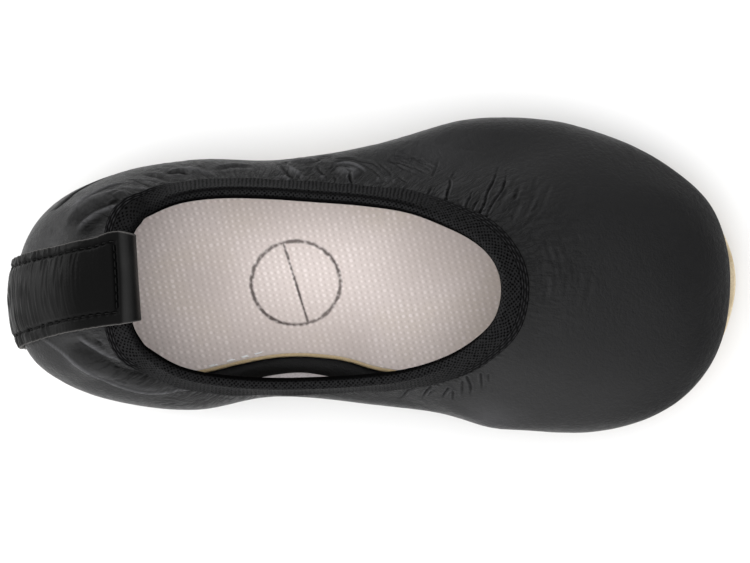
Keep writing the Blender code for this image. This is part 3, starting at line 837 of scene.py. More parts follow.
def nappaLeather():
    # Chrome-tanned nappa, drum dyed and lightly finished: satin black, a fine pebble, a net of soft creases
    # and, where the elastic draws it in, thin lines that run down from the collar
    look = {"deep": "#070708", "worn": "#0e0e0f", "hollowShade": "#030303", "crestSheen": "#38383a", "pebbleMm": 0.6,
            "poreMm": 0.25, "mottleMm": 1.3, "patchMm": 11.0, "netMm": 2.4, "reliefMm": 0.1, "lineMm": 1.1,
            "lineLengthMm": 8.0, "gloss": 0.25, "hollowGloss": 0.07, "toeGloss": 0.1}
    material, add = newMaterial("nappaLeather", IOR=1.42, Specular_IOR_Level=look["gloss"])
    place = add("TexCoord", out="Object")
    crumpled, gathered, hollowShade, crestSheen, toeLow = (
        add("Attribute", out="Fac", attribute_name=name)
        for name in ("crumpled", "gathered", "hollowShade", "crestSheen", "toeLow"))
    pore, mottle, patch = (
        add("TexNoise", {"Vector": place, "Scale": perMm(look[size]), "Detail": detail})
        for size, detail in (("poreMm", 2.0), ("mottleMm", 3.0), ("patchMm", 4.0)))
    pebble = add("TexVoronoi", {"Vector": place, "Scale": perMm(look["pebbleMm"])}, feature="SMOOTH_F1")
    bent = add("TexNoise", {"Vector": place, "Scale": perMm(look["netMm"] * 2), "Detail": 3.0}, out="Color")
    warped = add("MixRGB", {0: 0.0025, 1: place, 2: bent}, blend_type="LINEAR_LIGHT")
    net = add("TexVoronoi", {"Vector": warped, "Scale": perMm(look["netMm"])}, feature="DISTANCE_TO_EDGE")
    groove = add("MapRange", {0: net, 1: 0.0, 2: 0.14, 3: 0.0, 4: 1.0})

    # Thin drawn lines, in mm along the collar and down from it
    collarPlace = add("Attribute", out="Vector", attribute_name="collarPlace")
    sway = add("TexNoise", {"Vector": collarPlace, "Scale": 0.16, "Detail": 2.0}, out="Color")
    swayed = add("MixRGB", {0: 1.6, 1: collarPlace, 2: sway}, blend_type="LINEAR_LIGHT", use_clamp=False)
    thin = (1 / look["lineMm"], 1 / look["lineLengthMm"], 0.0)
    stretched = add("VectorMath", {0: swayed, 1: thin}, operation="MULTIPLY")
    drawn = add("TexNoise", {"Vector": stretched, "Scale": 1.0, "Detail": 2.5, "Roughness": 0.6})
    offLine = add("Math", {0: drawn, 1: 0.5}, operation="SUBTRACT")
    fromLine = add("Math", {0: offLine}, operation="ABSOLUTE")
    line = add("MapRange", {0: fromLine, 1: 0.0, 2: 0.09, 3: 1.0, 4: 0.0}, interpolation_type="SMOOTHSTEP")
    drawnLine = add("Math", {0: line, 1: gathered}, operation="MULTIPLY")

    grain = add("Math", {0: pebble, 1: 0.7, 2: pore}, operation="MULTIPLY_ADD")
    mottled = add("Math", {0: mottle, 1: 0.9, 2: grain}, operation="MULTIPLY_ADD")
    netDepth = add("Math", {0: crumpled, 1: 1.1, 2: 0.22}, operation="MULTIPLY_ADD")
    netted = add("Math", {0: groove, 1: netDepth, 2: mottled}, operation="MULTIPLY_ADD")
    height = add("Math", {0: drawnLine, 1: -1.5, 2: netted}, operation="MULTIPLY_ADD")
    bump = add("Bump", {"Height": height, "Distance": look["reliefMm"] * mm, "Strength": 0.8})

    tone = add("Mix", {0: patch, 6: look["deep"], 7: look["worn"]}, out=2, data_type="RGBA")
    # Painted shade: the troughs, the shady spots and the drawn lines go near black and lose gloss
    deeper = add("Math", {0: drawnLine, 1: 0.5, 2: hollowShade}, operation="MULTIPLY_ADD", use_clamp=True)
    # Ridge tops and the sheen spots are painted paler: partly rubbed wear, partly a painted highlight
    paleWithSheen = add("Mix", {0: crestSheen, 6: tone, 7: look["crestSheen"]}, out=2, data_type="RGBA")
    shade = add("Mix", {0: deeper, 6: paleWithSheen, 7: look["hollowShade"]}, out=2, data_type="RGBA")
    rough = add("MapRange", {0: mottle, 1: 0.3, 2: 0.7, 3: 0.38, 4: 0.5})
    dull = add("Math", {0: deeper, 1: 0.25, 2: rough}, operation="MULTIPLY_ADD")
    gloss = add("MapRange", {0: deeper, 1: 0.0, 2: 1.0, 3: look["gloss"], 4: look["hollowGloss"]})
    # Painted shade on the toe's low sides, by less gloss
    toeShading = add("MapRange", {0: toeLow, 1: 0.0, 2: 1.0, 3: 1.0, 4: look["toeGloss"]})
    finish = add("Math", {0: gloss, 1: toeShading}, operation="MULTIPLY")
    setSockets(material, Base_Color=shade, Roughness=dull, Specular_IOR_Level=finish, Normal=bump)
    return material


makeUpper(nappaLeather())


# Collar binding

binding = {
    "width": 5.3,
    "columns": 900,
    "outerRows": 44,
    "foldSteps": 14,
    "innerRows": 9,
    "steepLean": (50.0, 25.0),  # the collar's lean in degrees, from flat to steep
    "threads": (0.45, 1.05, 1.65),  # stitched threads, in mm from the outer edge where the tape lies flat
    "threadMm": 0.3,
    "threadHeight": 0.14,
    "knitFrom": 2.0,
    "stitchMm": 1.7,
    "grooveAt": 5.85,  # a groove along the fold where the side is steep, with painted shade in it
    "grooveMm": 0.42,
    "grooveDepth": 0.2,
    "rollFrom": 6.75,  # painted shadow where the tape rolls in, and further in where the side is steep
    "rollSteep": 0.45,
    "rollMm": 0.5,
    "ribEnd": (4.7, 5.2),
    "ribTurns": (165.0, 185.0),  # the tape is drawn into ribs up to here
    "waveMm": 0.1,
    "edgeDrop": 0.25,
}

# The fold stands further in at the corners of the heel: turn, half width in degrees, mm
heelCorners = ((19.0, 6.5, 1.1), (341.0, 6.5, 1.0))

# Painted shade on the tape at the heel's corners: turn, half width in degrees, amount
darkCorners = ((20.0, 17.0, 0.6), (340.0, 14.0, 0.3))


def atCorners(turns, corners):
    return sum(height * np.exp(-((turns - turn) / spread) ** 2) for turn, spread, height in corners)


def tapeThreads(across, along):
    # Threads along the outer edge: 1 on a thread, 0 between
    threads = 0.0
    for k, place in enumerate(binding["threads"]):
        stitch = 0.6 + 0.4 * np.cos(2 * np.pi * along / binding["stitchMm"] + 2.1 * k)
        threads = threads + stitch * np.exp(-((across - place) / (binding["threadMm"] / 2)) ** 2)
    return threads


def makeBinding(material):
    # Even steps along the mouth, so that the weave keeps its size
    fine = np.linspace(0, 360, 2881)
    fold = last["tapeFold"]
    mouth = offWall(fine, 0.0, fold)
    along = lengthsAlong(mouth)
    steps = np.linspace(0, along[-1], binding["columns"], endpoint=False)
    turns = np.interp(steps, along, fine)

    # Section of the folded tape: run down the leather and distance from it
    middle = -last["wall"] / 2
    width = binding["width"]
    section = [(run, fold) for run in np.linspace(width, 0, binding["outerRows"])]
    for angle in np.linspace(0, np.pi, binding["foldSteps"] + 2)[1:-1]:
        section.append((-fold * math.sin(angle), middle + (fold - middle) * math.cos(angle)))
    section += [(run, -last["wall"] - fold) for run in np.linspace(0, width, binding["innerRows"])]
    outerCount = len(section)
    section += [(run, -last["wall"] - 0.1) for run in (width, 0.3)]
    section += [(-0.15, middle)]
    section += [(run, 0.05) for run in (0.3, width)]
    runs, offsets = (np.array(values)[:, None] for values in zip(*section))

    # Where each point is across the flat tape, in mm from its outer edge
    across = lengthsAlong(np.array(section))[:, None]
    across[outerCount:] = across[outerCount - 1]
    steep = smooth(readRound(mouthLean, turns), *binding["steepLean"])[None]
    knit = smooth(across, binding["knitFrom"] - 0.15, binding["knitFrom"] + 0.15)
    flatEdge = (1 - steep) * (1 - knit)
    threads = flatEdge * tapeThreads(across, steps)
    drawnIn = steep * (1 - smooth(turns, *binding["ribTurns"]))
    inGroove = np.exp(-((across - binding["grooveAt"]) / binding["grooveMm"]) ** 2)
    groove = (0.2 * steep + 0.8 * drawnIn) * inGroove
    rollFrom = binding["rollFrom"] + binding["rollSteep"] * steep
    roll = smooth(across, rollFrom, rollFrom + binding["rollMm"])
    ribs = (0.5 * steep + 0.5 * drawnIn) * (1 - smooth(across, *binding["ribEnd"]))

    wave = binding["waveMm"] * (np.sin(steps / 2.9) + np.sin(steps / 1.7 + 1.0)) * smooth(runs, 1.0, width)
    relief = binding["threadHeight"] * (threads - 0.6 * flatEdge) - binding["grooveDepth"] * groove
    relief = relief - binding["edgeDrop"] * (1 - smooth(across, 0.0, 0.35)) + wave
    further = atCorners(turns, heelCorners) * smooth(across, 1.0, width)
    relief[outerCount:] = 0.0
    further[outerCount:] = 0.0
    points = offWall(turns[None] + 0 * runs, runs - further, offsets + relief)
    faces = gridFaces(len(section), len(turns), closeRows=True, closeColumns=True)
    piece = addPiece("collar_tape", points, faces, [material], "collar_binding")

    # The knit's place along the tape is that of the nearest point of the fold
    tree = planTree(mouth, range(len(fine)))
    nearest = [tree.find((x, y, 0.0))[1] for x, y, z in points.reshape(-1, 3)]
    place = np.stack(np.broadcast_arrays(along[nearest].reshape(len(section), -1), across, 0.0), axis=-1)
    addValues(piece, "tapePlace", place.reshape(-1, 3))
    # Painted shade in the groove, where the tape rolls in and at the heel's corners; the flat tape is also
    # dark between its edge threads
    dark = 0.85 * flatEdge * (1 - threads) + 0.8 * groove + 0.95 * roll + atCorners(turns, darkCorners)
    for name, values in (("tapeThread", threads), ("tapeDark", np.clip(dark, 0, 1)), ("tapeRibs", ribs)):
        addValues(piece, name, np.broadcast_to(values, place.shape[:2]).ravel())
    print("binding: %.0f mm of tape round the mouth" % along[-1])
    return piece


def wovenElastic():
    # Narrow knitted elastic of polyester over rubber: matt black, with staggered small openings between its
    # yarns, ribs where it is drawn tight along the sides, and shinier thread along its outer edge. Its knit
    # is drawn coarser than real, so that it shows.
    look = {"yarn": "#121213", "gap": "#010101", "thread": "#232324", "meshMm": 1.0, "ribMm": 0.88,
            "fibreMm": 0.22, "reliefMm": 0.2, "gloss": 0.1, "gapGloss": 0.01}
    material, add = newMaterial("wovenElastic", Roughness=0.65, IOR=1.45, Specular_IOR_Level=look["gloss"])
    place = add("Attribute", out="Vector", attribute_name="tapePlace")
    thread, dark, ribbed = (
        add("Attribute", out="Fac", attribute_name=name) for name in ("tapeThread", "tapeDark", "tapeRibs"))
    drift = add("TexNoise", {"Vector": place, "Scale": 0.7, "Detail": 2.0}, out="Color")
    moved = add("MixRGB", {0: 0.34, 1: place, 2: drift}, blend_type="LINEAR_LIGHT")
    waves = []
    for axis, size in (("X", look["meshMm"]), ("Y", look["meshMm"]), ("X", look["ribMm"])):
        source = add("SeparateXYZ", {0: moved}, out=axis)
        turn = add("Math", {0: source, 1: 2 * math.pi / size}, operation="MULTIPLY")
        waves.append(add("Math", {0: turn}, operation="COSINE"))
    yarns = add("Math", {0: waves[0], 1: waves[1]}, operation="MULTIPLY")
    fibre = add("TexNoise", {"Vector": place, "Scale": 1 / look["fibreMm"], "Detail": 3.0})
    loose = add("TexNoise", {"Vector": place, "Scale": 0.9, "Detail": 2.0})
    uneven = add("Math", {0: loose, 1: 1.8, 2: yarns}, operation="MULTIPLY_ADD")
    ragged = add("Math", {0: uneven, 1: 0.92}, operation="SUBTRACT")
    hole = add("MapRange", {0: ragged, 1: -0.65, 2: 0.0, 3: 1.0, 4: 0.0}, interpolation_type="SMOOTHSTEP")
    looseRib = add("Math", {0: loose, 1: 2.4, 2: waves[2]}, operation="MULTIPLY_ADD")
    slit = add("MapRange", {0: looseRib, 1: 0.0, 2: 1.9, 3: 0.7, 4: 0.0}, interpolation_type="SMOOTHSTEP")
    opening = add("Mix", {0: ribbed, 2: hole, 3: slit}, data_type="FLOAT")
    # The tape's painted shade darkens it as the openings do
    covered = add("Math", {0: opening, 1: dark}, operation="MAXIMUM")
    height = add("Math", {0: covered, 1: -1.6, 2: fibre}, operation="MULTIPLY_ADD")
    bump = add("Bump", {"Height": height, "Distance": look["reliefMm"] * mm, "Strength": 0.7})
    tone = add("Mix", {0: covered, 6: look["yarn"], 7: look["gap"]}, out=2, data_type="RGBA")
    lit = add("Mix", {0: thread, 6: tone, 7: look["thread"]}, out=2, data_type="RGBA")
    gloss = add("MapRange", {0: covered, 1: 0.0, 2: 1.0, 3: look["gloss"], 4: look["gapGloss"]})
    setSockets(material, Base_Color=lit, Specular_IOR_Level=gloss, Normal=bump)
    return material


makeBinding(wovenElastic())


# Heel strap

strap = {
    "width": 20.5,
    "thickness": 1.2,
    "downBack": 46.0,
    "innerLeg": 11.0,
    "clearsTape": 9.0,
    "meetsHeel": 17.0,
    "shiftTop": 0.5,
    "shiftBottom": -1.5,
    "columns": 96,
    "foldRows": 16,
    "legRows": 23,
    "rowMm": 0.2,
    "foldPower": 0.7,  # under 1 the fold is squarer than a half round
    "leanMm": 0.2,  # the fold's middle is this far forward
    "skewMm": 0.7,  # the fold leans forward at its medial end
    "foldAhead": 0.6,  # how far it stands in front of the binding
    "straightMm": 0.7,  # its ends lie this much further back than the collar's curve
    "waistShare": 0.15,  # its lateral half is this much narrower behind the fold
    "lateralRow": 2.2,  # stitch rows, in from the cut edges
    "medialRow": 2.7,
    "crossRun": 1.1,
    "stitchMm": 1.9,
    "stitchShare": 0.86,  # of the way from one needle hole to the next
    "threadMm": 0.42,
    "seamMm": 0.42,
    "seamDepth": 0.45,
    "wrinkleMm": 0.54,
    "wrinkleHeight": 0.46,
    "crimpHeight": 0.55,
    "pillowMm": 0.16,
    "cutMm": 0.28,  # paler raw edge
}


lengthWay = (offWall(0.0, 0.0, 0.0) - offWall(0.0, strap["downBack"], 0.0)) * (1.0, 1.0, 0.0)
sideways = np.cross((0.0, 0.0, 1.0), unit(lengthWay))
overTape = last["tapeFold"] + last["gap"]
heelTurns = np.linspace(-45, 45, 91)


def strapOffset(run):
    return last["gap"] + (overTape - last["gap"]) * smooth(-run, -strap["meetsHeel"], -strap["clearsTape"])


def strapPoints(run, across, offsets):
    # One row of points across the strap, at a run down from the collar's edge
    kept = max(run, 0.0)
    heel = offWall(heelTurns, kept, 0.0)
    places = (heel - offWall(0.0, kept, 0.0)) @ sideways
    shift = strap["shiftTop"] + (strap["shiftBottom"] - strap["shiftTop"]) * kept / strap["downBack"]
    waist = strap["waistShare"] * (0.4 + 0.6 * smooth(kept, 0.5, 8.0)) * (1 - 0.4 * smooth(kept, 12.0, 28.0))
    across = np.asarray(across)
    across = across * np.where(across > 0, 1 - waist, 1.0)
    turns = np.interp(across + shift, places, heelTurns)
    return offWall(turns, run, offsets)


def foldSkew(run, across):
    # How far the strap's face leans forward as it comes up to the fold
    share = across / (strap["width"] / 2)
    lean = strap["leanMm"] - strap["skewMm"] * share - strap["straightMm"] * share ** 2
    return (1 - smooth(run, 1.0, 8.0)) * lean


def insideRows(across):
    # How far a place on the strap is inside its lateral and its medial stitch row
    half = strap["width"] / 2
    return half - strap["lateralRow"] - across, across + half - strap["medialRow"]


def strapSeam(run, across):
    # 1 along the sewn rows and the row behind the fold, 0 off them
    lateral, medial = insideRows(across)
    rows = sum(np.exp(-(inside / strap["seamMm"]) ** 2) for inside in (lateral, medial))
    cross = np.exp(-((run - strap["crossRun"]) / 0.45) ** 2) * smooth(np.minimum(lateral, medial), 0.0, 1.2)
    stitchWave = 0.7 + 0.3 * np.cos(2 * np.pi * run / strap["stitchMm"])
    begun = smooth(run, strap["crossRun"] - 1.0, strap["crossRun"])
    return np.clip(rows * stitchWave * begun + cross, 0, 1)


def strapRelief(run, across):
    # Height of the strap's face: puckers, stitched grooves and a crossing groove behind the fold
    between = smooth(np.minimum(*insideRows(across)), 0.0, 1.2)
    bowed = (run + 0.014 * across ** 2 - 0.04 * across) / strap["wrinkleMm"]
    lines = [noise.noise(Vector((b, a * 0.17, 3.0))) for a, b in zip(across, bowed)]
    loose = [0.6 + 0.9 * noise.noise(Vector((run * 0.23, a * 0.2, 8.0))) for a in across]
    crimped = [noise.noise(Vector((run * 1.35, a * 0.3, 5.0))) for a in across]
    dense = smooth(run, 8.0, 17.0) + 0.06
    wrinkle = strap["wrinkleHeight"] * np.array(lines) * dense * np.clip(loose, 0.2, 1.2)
    crimp = strap["crimpHeight"] * np.array(crimped) * smooth(run, 9.0, 22.0) * (1 - between)
    pillow = strap["pillowMm"] * between * smooth(run, 2.0, 5.0)
    return wrinkle * between + crimp + pillow - strap["seamDepth"] * strapSeam(run, across)


def makeStrap(material):
    # Path of the strap's underside: up the back, round the fold and down inside
    half = strap["width"] / 2
    across = half * np.linspace(-1, 1, strap["columns"] + 1)
    middle = -last["wall"] / 2
    path = [(run, strapOffset(run)) for run in np.arange(strap["downBack"], 0, -strap["rowMm"])]
    path.append((0.0, overTape))
    outerLeg = len(path)
    for angle in np.linspace(0, np.pi, strap["foldRows"] + 1)[1:]:
        ahead = math.sin(angle) ** strap["foldPower"]
        above = math.copysign(abs(math.cos(angle)) ** strap["foldPower"], math.cos(angle))
        path.append((-(overTape + strap["foldAhead"]) * ahead, middle + (overTape - middle) * above))
    legRuns = np.linspace(0, strap["innerLeg"], strap["legRows"] + 1)[1:]
    path += [(run, -last["wall"] - overTape) for run in legRuns]
    runsDown = np.array([run for run, offset in path])

    under = np.array([strapPoints(run, across, offset) for run, offset in path])
    along = unit(np.gradient(under, axis=0))
    over = unit(np.cross(along, np.gradient(under, axis=1)))
    if (over[0, len(across) // 2] @ np.array((-1.0, 0.0, 0.3))) < 0:
        over = -over
    thick = np.full(under.shape[:2], strap["thickness"])
    for row in range(outerLeg):
        thick[row] += strapRelief(runsDown[row], across)
    ragged = np.array([[0.13 * noise.noise(Vector((row * 0.21, side * 9.0, 1.0))) for side in (-1, 1)]
                       for row in range(len(path))])
    edge = smooth(np.abs(across), half - 1.0, half)
    sway = np.where(across < 0, ragged[:, :1], ragged[:, 1:]) * edge
    skew = foldSkew(runsDown[:, None], across[None])
    face = under + over * thick[..., None] + sideways * sway[..., None]
    face[..., 0] += skew
    under = under + sideways * sway[..., None]
    under[..., 0] += np.maximum(skew, 0)

    # Face and back as one closed skin, with a rounded rim on the cut edges
    rounding = 1 - 0.12 * smooth(np.abs(across), half - 0.3, half)
    face = under + (face - under) * rounding[None, :, None]
    loop = np.concatenate((face, under[:, ::-1]), axis=1)
    rows, columns = loop.shape[:2]
    width = len(across)
    k = np.arange(width - 1)
    cap = np.stack((k, k + 1, columns - 2 - k, columns - 1 - k), axis=1)
    caps = (cap, (rows - 1) * columns + cap[:, ::-1])
    faces = np.concatenate((gridFaces(rows, columns, closeColumns=True), *caps))
    piece = addPiece("heel_strap", loop, faces, [material], "pull_tab")

    nearCut = 1 - smooth(half - np.abs(across), 0.0, strap["cutMm"])
    cut = np.tile(np.concatenate((nearCut, nearCut[::-1])), (rows, 1))
    cut[0] = 1.0
    addValues(piece, "cutEdge", cut.ravel())
    # Paler and glossier down the back, and a painted highlight on the roll of the fold
    backAndRollSheen = smooth(runsDown, 10.0, 20.0) + 1.6 * (1 - smooth(runsDown, -0.9, 0.1))
    backAndRollSheen[outerLeg + 9:] = 0.0
    addValues(piece, "paleWithSheen", np.repeat(backAndRollSheen, columns))
    seam = np.zeros((rows, columns))
    for row in range(outerLeg):
        seam[row, :width] = strapSeam(runsDown[row], across)
    addValues(piece, "seam", seam.ravel())
    return piece


def makeStrapStitches(material):
    half = strap["width"] / 2
    shares = np.linspace(-0.5, 0.5, 9)
    radius = strap["threadMm"] / 2 * np.sqrt(np.clip(1 - (2 * shares) ** 4, 0.05, 1))
    dip = 0.5 * (2 * shares) ** 4
    reach = shares * strap["stitchMm"] * strap["stitchShare"]
    crossRun = strap["crossRun"]
    paths = []
    for rowAcross in (half - strap["lateralRow"], strap["medialRow"] - half):
        for run in np.arange(crossRun + 0.4, strap["downBack"] - 1.0, strap["stitchMm"]):
            runs = run + reach
            lifts = strap["thickness"] - 0.16 - dip
            path = np.array([strapPoints(r, [rowAcross + 0.12 * s], strapOffset(r) + lift)[0]
                             for r, s, lift in zip(runs, shares, lifts)])
            path[:, 0] += foldSkew(runs, rowAcross)
            paths.append(path)
    first = strap["medialRow"] - half + 0.6
    final = half - strap["lateralRow"] - 0.6
    count = round((final - first) / strap["stitchMm"])
    for place in first + (np.arange(count) + 0.5) * (final - first) / count:
        spots = place + reach
        path = strapPoints(crossRun, spots, strapOffset(crossRun) + strap["thickness"] - 0.2 - dip)
        path[:, 0] += foldSkew(crossRun, spots)
        paths.append(path)
    return addTubes("strap_stitches", paths, [radius] * len(paths), 8, material)


def strapLeather():
    # A strip of the same nappa, cut through: smooth satin black, with pale raw fibre along its cut edges
    look = {"deep": "#030303", "worn": "#141414", "raw": "#6a6866", "rawDark": "#2b2a2a", "pebbleMm": 0.5,
            "fibreMm": 0.35, "patchMm": 7.0, "reliefMm": 0.035, "gloss": 0.042, "rubGloss": 0.06,
            "seamGloss": 0.004, "rough": 0.36, "rawRough": 0.9}
    material, add = newMaterial("strapLeather", IOR=1.42, Specular_IOR_Level=look["gloss"])
    place = add("TexCoord", out="Object")
    cut, backAndRollSheen, seam = (
        add("Attribute", out="Fac", attribute_name=name) for name in ("cutEdge", "paleWithSheen", "seam"))
    patch, fibre = (
        add("TexNoise", {"Vector": place, "Scale": perMm(look[size]), "Detail": detail})
        for size, detail in (("patchMm", 4.0), ("fibreMm", 3.0)))
    pebble = add("TexVoronoi", {"Vector": place, "Scale": perMm(look["pebbleMm"])}, feature="SMOOTH_F1")
    height = add("Math", {0: fibre, 1: 0.4, 2: pebble}, operation="MULTIPLY_ADD")
    bump = add("Bump", {"Height": height, "Distance": look["reliefMm"] * mm, "Strength": 0.9})
    # Painted highlight on the fold's roll, and the paler back, mixed toward the paler tone
    paleWithSheen = add("Math", {0: patch, 1: backAndRollSheen}, operation="MULTIPLY")
    tone = add("Mix", {0: paleWithSheen, 6: look["deep"], 7: look["worn"]}, out=2, data_type="RGBA")
    rawTone = add("Mix", {0: fibre, 6: look["rawDark"], 7: look["raw"]}, out=2, data_type="RGBA")
    shade = add("Mix", {0: cut, 6: tone, 7: rawTone}, out=2, data_type="RGBA")
    rough = add("MapRange", {0: cut, 1: 0.0, 2: 1.0, 3: look["rough"], 4: look["rawRough"]})
    worn = add("Math", {0: backAndRollSheen, 1: look["rubGloss"], 2: look["gloss"]}, operation="MULTIPLY_ADD")
    gloss = add("MapRange", {0: seam, 1: 0.0, 2: 1.0, 3: worn, 4: look["seamGloss"]})
    setSockets(material, Base_Color=shade, Roughness=rough, Specular_IOR_Level=gloss, Normal=bump)
    return material


def polyesterThread():
    # Twisted polyester sewing thread, dyed black: a dull shine broken by its ply
    look = {"low": "#020202", "high": "#080808", "grainMm": 0.3, "reliefMm": 0.08, "strength": 0.8}
    return grainedMaterial("polyesterThread", look, "TexNoise", {"Detail": 2.0},
                           Roughness=0.6, IOR=1.5, Specular_IOR_Level=0.05)


makeStrap(strapLeather())
makeStrapStitches(polyesterThread())


# Insole

insole = {
    "strips": 480,
    "across": 150,
    "under": 1.6,
    "thickness": 2.0,
    "boardEdge": 0.9,  # width of the backing that shows past the cloth
    "boardDrop": 0.9,
    "warpMm": 1.54,  # spacing of the nubs along the cloth, and its direction from X
    "warpTurn": 13.0,
    "weftMm": 1.27,
    "weftTurn": 95.0,
    "nubMm": 0.08,
    "nubShares": (0.44, 0.22, 0.06),  # level of the cloth, the nubs on a row of weft, and the row itself
    "stampX": -18.2,
    "stampY": -1.85,
    "stampRadius": 10.1,
    "stampSquash": (0.975, 1.04, 0.0),  # the cloth has stretched along the shoe since it was stamped
    "stampStroke": 0.75,
    "barTurn": -73.7,
    "heelDarkPatch": (-38.0, -1.5, 9.0),  # a darker patch under the heel: x, y, reach
}

# How far the soft edge spreads at the arch: turn, mm
archEdge = (
    (250.0, 0.0),
    (262.0, 0.9),
    (270.5, 1.35),
    (275.0, 0.3),
    (281.0, 0.55),
    (288.0, 1.05),
    (294.0, 0.8),
    (310.0, 0.0),
)


def waveVector(spacing, turn):
    return np.array((math.cos(math.radians(turn)), math.sin(math.radians(turn)))) / spacing


def makeInsole(cloth, board):
    strips, lanes = insole["strips"], insole["across"]
    shares = np.linspace(0, 1, strips + 1)
    halfTurns = 180 * (0.5 * shares + 0.5 * np.arccos(1 - 2 * shares) / np.pi)
    turns = np.concatenate((halfTurns, 360 - halfTurns[-2:0:-1]))
    count = len(turns)

    # Rings from the underside to the cloth's edge: inset and height
    gap, boardEdge, boardDrop = last["gap"], insole["boardEdge"], insole["boardDrop"]
    top = insole["under"] + insole["thickness"]
    steps = (
        (last["marginWidth"] + gap, gap),
        (last["marginWidth"] + gap, insole["under"]),
        (gap, insole["under"]),
        (gap, top - boardDrop),
        (gap + 0.35 * boardEdge, top - 0.35 * boardDrop),
        (gap + boardEdge, top - 0.12),
        (gap + boardEdge + 0.15, top),
    )
    edgeTurns, edgeReach = np.array(archEdge).T
    arch = sum(np.interp(turns + shift, edgeTurns, edgeReach) for shift in np.linspace(-2, 2, 9)) / 9
    rings = [overSole(turnedUnder(turns, inset), height) for inset, height in steps[:3]]
    rings += [overSole(turnedUnder(turns, inset - arch), height) for inset, height in steps[3:]]
    rings = np.array(rings) + stand
    sideFaces = gridFaces(len(steps), count, closeColumns=True)

    # The cloth's face: cross strips from the lateral to the medial side of the last ring
    rim = rings[-1]
    lateral = rim[:strips + 1]
    medial = np.concatenate((rim[:1], rim[:strips - 1:-1]))
    lane = np.linspace(0, 1, lanes + 1)[None, :, None]
    field = lateral[:, None] * (1 - lane) + medial[:, None] * lane
    x, y = field[..., 0], field[..., 1]
    field[..., 2] = soleBottom(x - stand[0]) + last["soleThickness"] + top
    warp = field[..., :2] @ waveVector(insole["warpMm"], insole["warpTurn"])
    weft = field[..., :2] @ waveVector(insole["weftMm"], insole["weftTurn"])
    level, nub, row = insole["nubShares"]
    nubs = level + (nub * np.cos(2 * np.pi * warp) + row) * (1 + np.cos(2 * np.pi * weft))
    inside = np.minimum(lane[..., 0], 1 - lane[..., 0]) * np.linalg.norm(lateral - medial, axis=1)[:, None]
    field[..., 2] += insole["nubMm"] * (nubs - 0.5) * smooth(inside, 0.1, 0.8)
    fieldFaces = gridFaces(strips + 1, lanes + 1, start=rings.size // 3)

    underFaces = crossStrips(count)
    faces = np.concatenate((sideFaces, underFaces, fieldFaces[:, ::-1]))
    points = np.concatenate((rings.reshape(-1, 3), field.reshape(-1, 3)))
    kinds = np.ones(len(faces))
    kinds[(len(steps) - 2) * count:(len(steps) - 1) * count] = 0
    kinds[len(sideFaces) + len(underFaces):] = 0
    piece = addPiece("insole_cloth", points, faces, [cloth, board], "insole", kinds,
                     facesOut=False)

    # Painted shade on the cloth along its edges at the waist and under the vamp, most on the lateral side,
    # and a darker patch under the heel
    markX, markY, reach = insole["heelDarkPatch"]
    atEdge = (1 - smooth(inside, 3.0, 20.0)) * smooth(x, -46.0, -22.0)
    atEdge *= 1 - smooth(x, -6.0, 6.0) * (1 - smooth(y, -10.0, 5.0))
    underVamp = np.maximum(smooth(x, 8.0, 30.0), smooth(x, -4.0, 14.0) * smooth(y, -12.0, 6.0))
    heelDarkPatch = np.exp(-((x - markX) / reach) ** 2 - ((y - markY) / reach) ** 2)
    shadeAndHeelPatch = np.clip(np.maximum(atEdge, underVamp) + heelDarkPatch, 0, 1)
    addValues(piece, "clothShadeAndHeelPatch", np.concatenate((np.ones(rings.size // 3), shadeAndHeelPatch.ravel())))
    return piece


